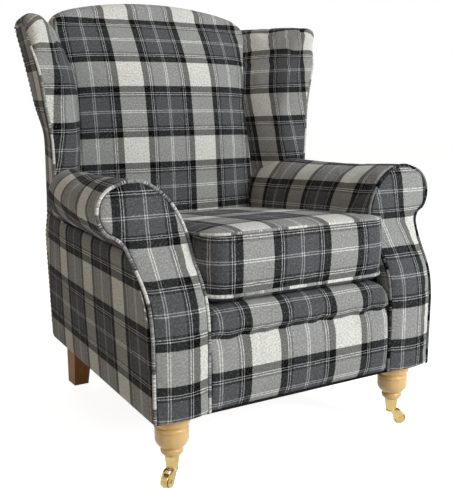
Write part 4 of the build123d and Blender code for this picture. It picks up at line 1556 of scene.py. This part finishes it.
# --- back and wings --------------------------------------------------------------------------
@dataclass
class InsideBack:
    """The padded back between the wings, rolled over its arched top."""

    room: Workroom
    foot: float = 0.400
    roll: float = 0.040
    overlap: float = 0.001         # how far its rear edge lies on the outside back
    tail: float = 0.012            # how far it goes down there
    side_tuck: float = 0.030
    top_tuck: float = 0.045
    stuffing: Stuffing = Stuffing(3.5, 0.009, 0.014)
    lay: Lay = Lay()

    def build(self) -> None:
        """Makes the cover from the seat up and over the crest to the outside back."""
        form = self.room.form
        across, up, over = 44, 50, 14
        s = np.linspace(-1.0, 1.0, across + 1)
        s = np.sign(s) * (0.45 * np.abs(s) + 0.55 * np.sin(np.abs(s) * math.pi / 2))
        crest = form.crest(s * form.CREST_SIDE) - self.roll
        rows = [self.face_point(s, self.foot + share * (crest - self.foot))
                for share in np.linspace(0.0, 1.0, up + 1)]
        x, front, z = rows[-1].T
        rear = form.back_y(crest) - self.overlap
        for angle in np.linspace(0.0, math.pi, over + 1)[1:]:
            lift = self.roll * math.sin(angle) ** 0.8 if angle < math.pi - 1e-6 else 0.0
            y = (front + rear) / 2 - (rear - front) / 2 * math.cos(angle)
            rows.append(stacked(x, y, z + lift))
        tail = z - self.tail
        rows.append(stacked(x, form.back_y(tail) - self.overlap, tail))
        patch = Patch.measured(self.turned_in(np.array(rows), up), 0, across // 2 + 1)
        self.room.cover("inside_back_cover", [self.lay.on(patch)], (0.0, 0.33, 0.75),
                        "inside_back", self.stuffing, self.held)

    def turned_in(self, points: np.ndarray, face_rows: int) -> np.ndarray:
        """Adds a column at each side that tucks in behind the wing.

        Args:
            points: The grid.
            face_rows: How many of its rows are the front face.

        Returns:
            The wider grid.
        """
        tuck = np.zeros((len(points), 1, 3))
        tuck[:face_rows, 0, 1] = self.side_tuck
        tuck[face_rows:, 0, 2] = -self.top_tuck
        return np.concatenate([points[:, :1] + tuck, points, points[:, -1:] + tuck], axis=1)

    def face_point(self, s: np.ndarray, z: np.ndarray) -> np.ndarray:
        """Points of the front surface at shares of the half width and at heights.

        Args:
            s: Shares of the half width, -1 to 1.
            z: Heights.

        Returns:
            A point for each.
        """
        form = self.room.form
        middle = form.middle_y(z)
        y = middle + (form.crease_y(z) - middle) * np.abs(s) ** 2.6
        return stacked(s * form.crease_x(z), y, z)

    def held(self, points: np.ndarray) -> np.ndarray:
        """The creases, the foot and the rear edge stay where they are.

        Args:
            points: The cover's points, one a row.

        Returns:
            1 where a point is held, 0 where it is free.
        """
        form = self.room.form
        x, y, z = points.T
        sides = np.abs(x) > form.crease_x(z) - 0.004
        rear = y > form.back_y(z) - 0.006
        crest = np.clip((z - form.crest(np.clip(x, -0.306, 0.306)) + 0.060) / 0.030, 0.0, 1.0)
        return np.maximum((sides | rear | (z < self.foot + 0.01)).astype(float), crest)


@dataclass
class Wing:
    """A wing: padded inside and rounded edge, outer panel, and the piping between them."""

    room: Workroom
    side: Side
    rim_depth: float = 0.030
    thickness: float = 0.054
    base: float = 0.575
    knee: float = 0.952            # where the front edge turns into the top
    crown: Point2 = (0.010, 0.030)
    drop: Point2 = (0.004, 0.027)
    cord: float = 0.0034
    lean: float = -0.27
    lean_from: float = 0.70        # the height that the lean leaves in place
    level_to: float = 0.96         # the check runs level up to here
    level_fade: float = 0.06
    rise: float = 0.0
    rise_from: float = 0.22        # the cloth's coordinate that the rise leaves in place
    splay: float = 0.0
    splay_from: float = 0.62
    splay_over: float = 0.38
    swell: float = 0.003           # of the outer panel
    front_points: int = 60
    stuffing: Stuffing = Stuffing(3.0, 0.005)
    lay: Lay = Lay()
    outer_lay: Lay = Lay()
    strip: Strip = Strip.LIGHT

    def grid(self, base: float, rows: int, columns: int,
             line: np.ndarray) -> tuple[np.ndarray, np.ndarray]:
        """A (y, z) field below and behind an edge line, closer at its front and top.

        Args:
            base: Its lowest height.
            rows: Steps up.
            columns: Steps to the rear.
            line: The edge as (y, z) points: front_points up the front, then along the top.

        Returns:
            The field's y and z.
        """
        form, corner = self.room.form, self.front_points - 1
        p = np.linspace(0.0, 1.0, columns + 1) ** 1.5
        q = 1.0 - (1.0 - np.linspace(0.0, 1.0, rows + 1)) ** 1.35
        z = np.full((rows + 1, columns + 1), base)
        y = z
        for _ in range(8):
            front = np.interp(z, line[:corner + 1, 1], line[:corner + 1, 0])
            y = front + p[None, :] * (form.back_y(z) - form.PANEL - front)
            z = base + q[:, None] * (np.interp(y, line[corner:, 0], line[corner:, 1]) - base)
        return y, z

    def edge(self) -> np.ndarray:
        """The (y, z) line of the foremost and highest points of the padded edge.

        Returns:
            The points, front_points of them up the front and the rest along the top.
        """
        form = self.room.form
        z = np.linspace(self.base, self.knee, self.front_points)
        front = np.column_stack([form.wing_y(z), z])
        y = np.concatenate([np.linspace(front[-1, 0], 0.190, 26)[1:],
                            np.linspace(0.190, 0.400, 20)[1:]])
        return np.concatenate([front, np.column_stack([y, form.wing_top(y)])])

    def at_top(self, z: Any) -> Any:
        """0 along the front edge, 1 along the top."""
        share = ramped(z, 0.880, 0.090)
        return share * share * (3 - 2 * share)

    def from_front(self, pair: Point2, z: Any) -> Any:
        """The first of a pair of sizes along the front edge and the second along the top."""
        return pair[0] + (pair[1] - pair[0]) * self.at_top(z)

    def seam(self, line: np.ndarray) -> np.ndarray:
        """The (y, z) line of the piping, inside the edge line."""
        drop = self.from_front(self.drop, line[:, 1])
        return line - drop[:, None] * (shifted(line, 1.0) - line)

    def build(self) -> None:
        """Makes the three pieces of the wing."""
        form = self.room.form
        line = self.seam(self.edge())
        self.build_inside()
        self.build_outside(line)
        start = stacked(line[0, 0], np.linspace(form.CREASE, self.base, 13)[:-1])
        line = line[line[:, 0] < form.back_y(line[:, 1]) - 0.014]
        y, z = respaced(np.concatenate([start, line]), 170).T
        path = self.stood(stacked(form.wing_outer(y, z) + 0.0005, y, z))
        self.room.cord(f"{self.side.label}_wing_cord", path, self.cord, self.strip, along=0.03)

    def stood(self, points: np.ndarray) -> np.ndarray:
        """Puts points drawn for +X on this side, with the wing's front let out at its top.

        Args:
            points: Points drawn for +X.

        Returns:
            The points in their place.
        """
        x, y, z = np.moveaxis(points, -1, 0)
        share = ramped(z, self.splay_from, self.splay_over)
        out = self.splay * share * (1 - 0.6 * self.room.form.behind(y, z))
        return stacked(self.side.value * (x + out), y, z)

    def build_inside(self) -> None:
        """The inner face, the padded edge and its turn down to the piping."""
        label = self.side.label
        y, z = self.grid(self.base, 44, 30, self.edge())
        crown = self.from_front(self.crown, z)
        face = self.face(y, z, crown)
        turned = self.turn(np.concatenate([stacked(y[:, 0], z[:, 0]), stacked(y[-1], z[-1])[1:]]),
                           np.concatenate([crown[:, 0], crown[-1, 1:]]),
                           np.concatenate([face.cloth[:, 0], face.cloth[-1, 1:]]))
        patches = [self.lay.on(Patch(self.stood(patch.points), patch.cloth))
                   for patch in (face, turned)]
        self.room.cover(f"{label}_wing_cover", patches, (self.side.value * 0.5, 0.30, 0.78),
                        f"{label}_wing_pad", self.stuffing, self.held, wadding=0.005)

    def face(self, y: np.ndarray, z: np.ndarray, crown: np.ndarray) -> Patch:
        """The inner face up to its foremost and highest edge.

        Args:
            y: The field's depths.
            z: The field's heights.
            crown: How far inside the outer face the edge lies.

        Returns:
            The face, with its check level.
        """
        form = self.room.form
        gap = distance_to(stacked(y, z), self.edge())
        gap[:, 0] = gap[-1, :] = 0.0
        outer, front = form.wing_outer(y, z), form.wing_y(z)
        run = np.clip((y - front) / (form.crease_y(z) - front), 0.0, 1.6)
        at_front = form.wing_x(z) - self.thickness
        inner = at_front + (form.crease_x(z) + 0.002 - at_front) * run
        deep = outer - np.minimum(inner, outer - self.thickness * 0.6)
        x = outer - crown - (deep - crown) * rounded_rim(gap / self.rim_depth, 2.3)
        face = Patch.measured(stacked(x, y, z), 12, 0)
        face.cloth[..., 0] += self.lean * (z - self.lean_from)
        level = np.interp(z, z[:, 10], face.cloth[:, 10, 1]) - face.cloth[..., 1]
        face.cloth[..., 1] += level * np.clip((self.level_to - z) / self.level_fade, 0.0, 1.0)
        face.cloth[..., 1] += self.rise * (face.cloth[..., 0] - self.rise_from)
        return face

    def turn(self, ring: np.ndarray, crown: np.ndarray, cloth: np.ndarray) -> Patch:
        """The padded edge's turn from its foremost line to the piping.

        Args:
            ring: The (y, z) line where it starts.
            crown: How far inside the outer face it starts.
            cloth: The cloth's coordinates there.

        Returns:
            The turn, whose check runs on from the face.
        """
        form, step, rows = self.room.form, self.seam(ring) - ring, []
        for angle in np.linspace(0.0, math.pi / 2, 6):
            flat = ring + step * (1 - math.cos(angle))
            across = form.wing_outer(flat[:, 0], flat[:, 1]) - crown * (1 - math.sin(angle))
            rows.append(np.column_stack([across, flat]))
        turned = Patch.measured(np.array(rows), 0, 0)
        share, down = self.at_top(ring[:, 1]), turned.cloth[..., 1].copy()
        turned.cloth[..., 0] = cloth[:, 0] - 0.9 * down * (1 - share)
        turned.cloth[..., 1] = cloth[:, 1] + down * share
        return turned

    def held(self, points: np.ndarray) -> np.ndarray:
        """The piped seam, the foot and what lies behind the back pad stay where they are.

        Args:
            points: The cover's points, one a row.

        Returns:
            1 where a point is held, 0 where it is free.
        """
        form = self.room.form
        x, y, z = points.T
        seam = distance_to(points[:, [1, 2]], self.seam(self.edge())) < 0.002
        seam &= np.abs(x) > form.wing_outer(y, z) - 0.012
        hidden = y > form.crease_y(z) - 0.004
        return (seam | hidden | (z < self.base + 0.006)).astype(float)

    def build_outside(self, line: np.ndarray) -> None:
        """The outer panel, from the arm's crease to the piping.

        Args:
            line: The piping's (y, z) line.
        """
        form, label = self.room.form, self.side.label
        y, z = self.grid(form.CREASE + 0.0005, 46, 22, line)
        up, across = (np.sin(math.pi * np.linspace(0, 1, count)) for count in z.shape)
        x = form.wing_outer(y, z) + self.swell * (across[None, :] * up[:, None])
        patch = self.outer_lay.over(self.stood(stacked(x, y, z)), 1, 2)
        self.room.cover(f"{label}_outside_wing_cover", [patch], (0.0, 0.30, 0.75),
                        f"{label}_outside_wing", fill=1.0)


@dataclass
class OutsideBack:
    """The flat back panel, hand-stitched at its edges."""

    room: Workroom
    top: float = 1.005
    top_side: float = 0.376
    top_rise: float = 0.030
    edge_drop: float = 0.0035
    stitch_step: float = 0.013
    stitch_length: float = 0.008
    stitch_inset: float = 0.006    # as a share of the way to the panel's middle
    stitch_depth: float = 0.0024
    thread: float = 0.0007
    lay: Lay = Lay()

    def build(self) -> None:
        """Makes the panel from the frame's underside to its arched top."""
        form = self.room.form
        up = np.linspace(0.0, 1.0, 61)[:, None]
        s = np.linspace(-1.0, 1.0, 41)[None, :]
        side = smooth((0.160, 0.430, 0.497, 0.690, 0.785, 0.850, 0.905, 0.975, 1.005),
                      (0.340, 0.338, 0.329, 0.320, 0.341, 0.352, 0.362, 0.376, 0.381))
        x, z = s * 0.36 * np.ones_like(up), up
        for _ in range(6):
            top = arched(x, self.top, self.top_side, self.top_rise)
            z = form.BOTTOM + up * (top - form.BOTTOM)
            x = s * side(z)
        rim = np.minimum(1 - np.abs(s), np.minimum(up, 1 - up))
        y = form.back_y(z) - self.edge_drop + self.edge_drop * rounded_rim(rim / 0.03)
        points = stacked(x, y, z)
        self.room.cover("outside_back_cover", [self.lay.over(points, 0, 2)], (0.0, 0.0, 0.6),
                        "outside_back", fill=1.0)
        edge = np.concatenate([points[3:, 0], points[-1, 1:-1], points[3:, -1][::-1]])
        self.stitch(edge - [0.0, 0.002, 0.0])

    def stitch(self, edge: np.ndarray) -> None:
        """Slip stitches round the panel's sides and top.

        Args:
            edge: The points along its edge.
        """
        centre = np.array([0.0, 0.0, 0.55])
        line = respaced(edge, int(travelled(edge)[-1] / self.stitch_step))
        line += self.stitch_inset * (centre - line) * [1.0, 0.0, 1.0]
        line[:, 1] += self.stitch_depth
        stitch = np.linspace(-0.5, 0.5, 7)[:, None] * self.stitch_length
        patches = [tube(place + stitch * ahead, self.thread, Strip.DARK, sides=5)
                   for place, ahead in zip(line, headings(line))]
        stitches = sewn("outside_back_stitches", patches, tuple(centre), 0.00002)
        self.room.hand_over(stitches, Slot.TARTAN)


@dataclass
class Underside:
    """The dust cloth tacked under the frame, cut round the legs."""

    room: Workroom
    height: float = 0.1592
    thickness: float = 0.0008
    margin: float = 0.009
    sag: float = 0.004
    leg: Point3 = (0.306, -0.345, 0.041)           # x and y of a front leg, and its hole's radius
    rear_leg: Point3 = (0.243, 0.302, 0.234)       # from x to x, and from y on

    def cut(self, face: bmesh.types.BMFace) -> bool:
        """Whether a face lies where a leg comes through.

        Args:
            face: A face of the sheet.

        Returns:
            Whether it is cut away.
        """
        at = face.calc_center_median()
        leg_x, leg_y, radius = self.leg
        inner, outer, front = self.rear_leg
        round_hole = math.hypot(abs(at.x) - leg_x, at.y - leg_y) < radius
        return round_hole or (inner < abs(at.x) < outer and at.y > front)

    def build(self) -> None:
        """Makes the sheet with its four cut-outs."""
        form = self.room.form
        t, s = np.meshgrid(np.linspace(0, 1, 73), np.linspace(-1, 1, 77), indexing="ij")
        y = form.FRONT + self.margin + t * (form.REAR - form.FRONT - 2 * self.margin)
        x = s * (form.foot_x(y) - self.margin)
        z = self.height - 0.0012 - self.sag * (np.sin(math.pi * t) * np.cos(s * math.pi / 2))
        cloth = sewn("dust_cloth", [Lay().over(stacked(x, y, z), 0, 1)], (0.0, 0.0, 1.0))
        mesh = bmesh.new()
        mesh.from_mesh(cloth.data)
        holes = [face for face in mesh.faces if self.cut(face)]
        bmesh.ops.delete(mesh, geom=holes, context="FACES")
        area = sum(face.calc_area() for face in mesh.faces)
        written(mesh, cloth.data)
        backed(cloth, self.thickness)
        self.room.hand_over(cloth, Slot.DUST_CLOTH, "dust_cover")


@dataclass
class BackWebbing:
    """Jute straps across the back frame, behind the padding."""

    room: Workroom
    half: float = 0.300
    width: float = 0.052
    thickness: float = 0.0016
    span: Point2 = (0.480, 0.900)
    straps: int = 5
    behind: float = 0.0545

    def build(self) -> None:
        """Makes the straps as one piece."""
        form = self.room.form
        step = (self.span[1] - self.span[0] - self.width) / (self.straps - 1)
        patches = []
        for index in range(self.straps):
            z, x = np.meshgrid(np.linspace(0, self.width, 5) + self.span[0] + index * step,
                               np.linspace(-self.half, self.half, 41), indexing="ij")
            patches.append(Lay().over(stacked(x, form.back_y(z) - self.behind, z), 0, 2))
        straps = sewn("back_straps", patches, (0.0, 1.0, 0.7))
        backed(straps, self.thickness)
        self.room.hand_over(straps, Slot.WEBBING, "back_webbing")


# --- frame, legs and castors -----------------------------------------------------------------
@dataclass
class HardParts:
    """The CAD pieces that stay, each with its finish."""

    room: Workroom

    def dress(self, nodes: Mapping[str, bpy.types.Object]) -> None:
        """Gives every node that isn't replaced its material.

        Args:
            nodes: The CAD nodes by name.
        """
        for name, node in nodes.items():
            material = self.room.finishes.of_node(name)
            for slot in node.material_slots:
                slot.material = material
            LOG.info("%s: %s", name, material.name)


@dataclass(frozen=True)
class Lamp:
    """A soft square lamp: where it hangs, what it points at, its side, its watts and its tint."""

    name: str
    place: Point3
    aim: Point3
    size: float
    power: float
    colour: Point3

    def hang(self) -> None:
        """Puts it in the scene."""
        data = bpy.data.lights.new(self.name, "AREA")
        data.size = self.size
        data.energy = self.power
        data.color = self.colour
        turn = (Vector(self.aim) - Vector(self.place)).to_track_quat("-Z", "Y")
        linked(self.name, data, self.place).rotation_euler = turn.to_euler()


@dataclass
class Studio:
    """Camera, lamps, world and floor."""

    room: Workroom
    camera_place: Point3 = (-1.01272, -1.73267, 0.801213)
    azimuth: float = -31.225
    elevation: float = 10.494
    lens: float = 58.53
    sensor: float = 36.0
    floor_size: float = 9.0
    floor_height: float = -0.0003
    soft: float = 0.14
    lamps: tuple[Lamp, ...] = (
        Lamp("key", (1.5, -3.5, 2.1), (0.0, -0.1, 0.5), 1.6, 138.0, (1.0, 0.99, 0.97)),
        Lamp("fill", (-3.0, -1.0, 2.1), (0.0, 0.0, 0.4), 2.2, 13.0, (1.0, 0.66, 0.36)),
        Lamp("top", (0.2, 0.4, 3.6), (0.0, 0.0, 0.5), 2.6, 20.0, (1.0, 1.0, 1.0)))

    def build(self) -> None:
        """Sets up everything round the chair."""
        self.build_camera()
        self.build_floor()
        self.build_world()
        for lamp in self.lamps:
            lamp.hang()

    def build_camera(self) -> None:
        """The photograph's view."""
        data = bpy.data.cameras.new("view")
        data.lens = self.lens
        data.sensor_width = self.sensor
        camera = linked("view", data, self.camera_place)
        tilt, turn = math.radians(90.0 - self.elevation), math.radians(self.azimuth)
        camera.rotation_euler = (tilt, 0.0, turn)
        bpy.context.scene.camera = camera

    def build_floor(self) -> None:
        """A plain pale floor."""
        mesh = bmesh.new()
        bmesh.ops.create_grid(mesh, x_segments=4, y_segments=4, size=self.floor_size)
        data = written(mesh, bpy.data.meshes.new("floor"))
        data.materials.append(self.room.finishes.floor)
        floor = linked("floor", data, (0.0, 0.0, self.floor_height))

    def build_world(self) -> None:
        """White where the camera, or a reflection, looks past the floor, and soft grey light."""
        world = bpy.data.worlds.new("studio")
        bpy.context.scene.world = world
        world.use_nodes = True
        world.node_tree.nodes.clear()
        graph = Graph(world.node_tree)
        seen = graph.lit_by("Is Camera Ray", "Is Glossy Ray", "Is Transmission Ray")
        soft = graph.add("Background", {"Color": (1.0, 0.97, 0.92), "Strength": self.soft})
        white = graph.add("Background", {"Color": (1.0, 1.0, 1.0), "Strength": 1.0})
        mix = graph.add("MixShader", {0: seen, 1: soft.outputs[0], 2: white.outputs[0]})
        graph.add("OutputWorld", {0: mix.outputs[0]})


def main() -> None:
    """Loads the frame, dresses the chair and sets the studio."""
    logging.basicConfig(level=logging.INFO, format="%(name)s %(message)s")
    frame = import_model()
    bpy.context.scene.view_settings.view_transform = "Standard"
    room = Workroom()
    HardParts(room).dress(frame["nodes"])
    SeatCushion(room, top_lay=Lay((-0.094, -0.034), (0.96, 1.0)),
                boxing_lay=Lay((-0.093, 0.100), (0.95, 1.0))).build()
    SeatFront(room, lay=Lay((-0.111, 0.038), (0.95, 1.0))).build()
    SeatDeck(room).build()
    InsideBack(room, lay=Lay((-0.093, -0.063), (1.02, 1.05))).build()
    OutsideBack(room, lay=Lay((-0.101, 0.0))).build()
    BackWebbing(room).build()
    Underside(room).build()
    ArmFront(room, Side.LEFT, lay=Lay((0.023, -0.112), (1.0, 0.98))).build()
    ArmFront(room, Side.RIGHT, lay=Lay((0.041, 0.102), (1.0, 0.95)), strip=Strip.DARK).build()
    Arm(room, Side.LEFT, lay=Lay((-0.021, 0.034), (1.14, 1.0)),
        panel_lay=Lay((0.057, 0.029), (1.11, 1.0))).build()
    Arm(room, Side.RIGHT, lay=Lay((0.010, -0.023), (1.14, 1.0)),
        panel_lay=Lay((0.057, 0.029), (1.11, 1.0))).build()
    Wing(room, Side.LEFT, lay=Lay((0.0435, -0.055), (0.86, 1.06)), outer_lay=Lay((0.0, 0.02)),
         lean=-0.22, splay=-0.006).build()
    Wing(room, Side.RIGHT, lay=Lay((0.072, -0.0585), (1.17, 1.10)), outer_lay=Lay((0.0, 0.02)),
         splay=0.010, rise=0.04).build()
    Studio(room).build()


if __name__ == "__main__":
    main()
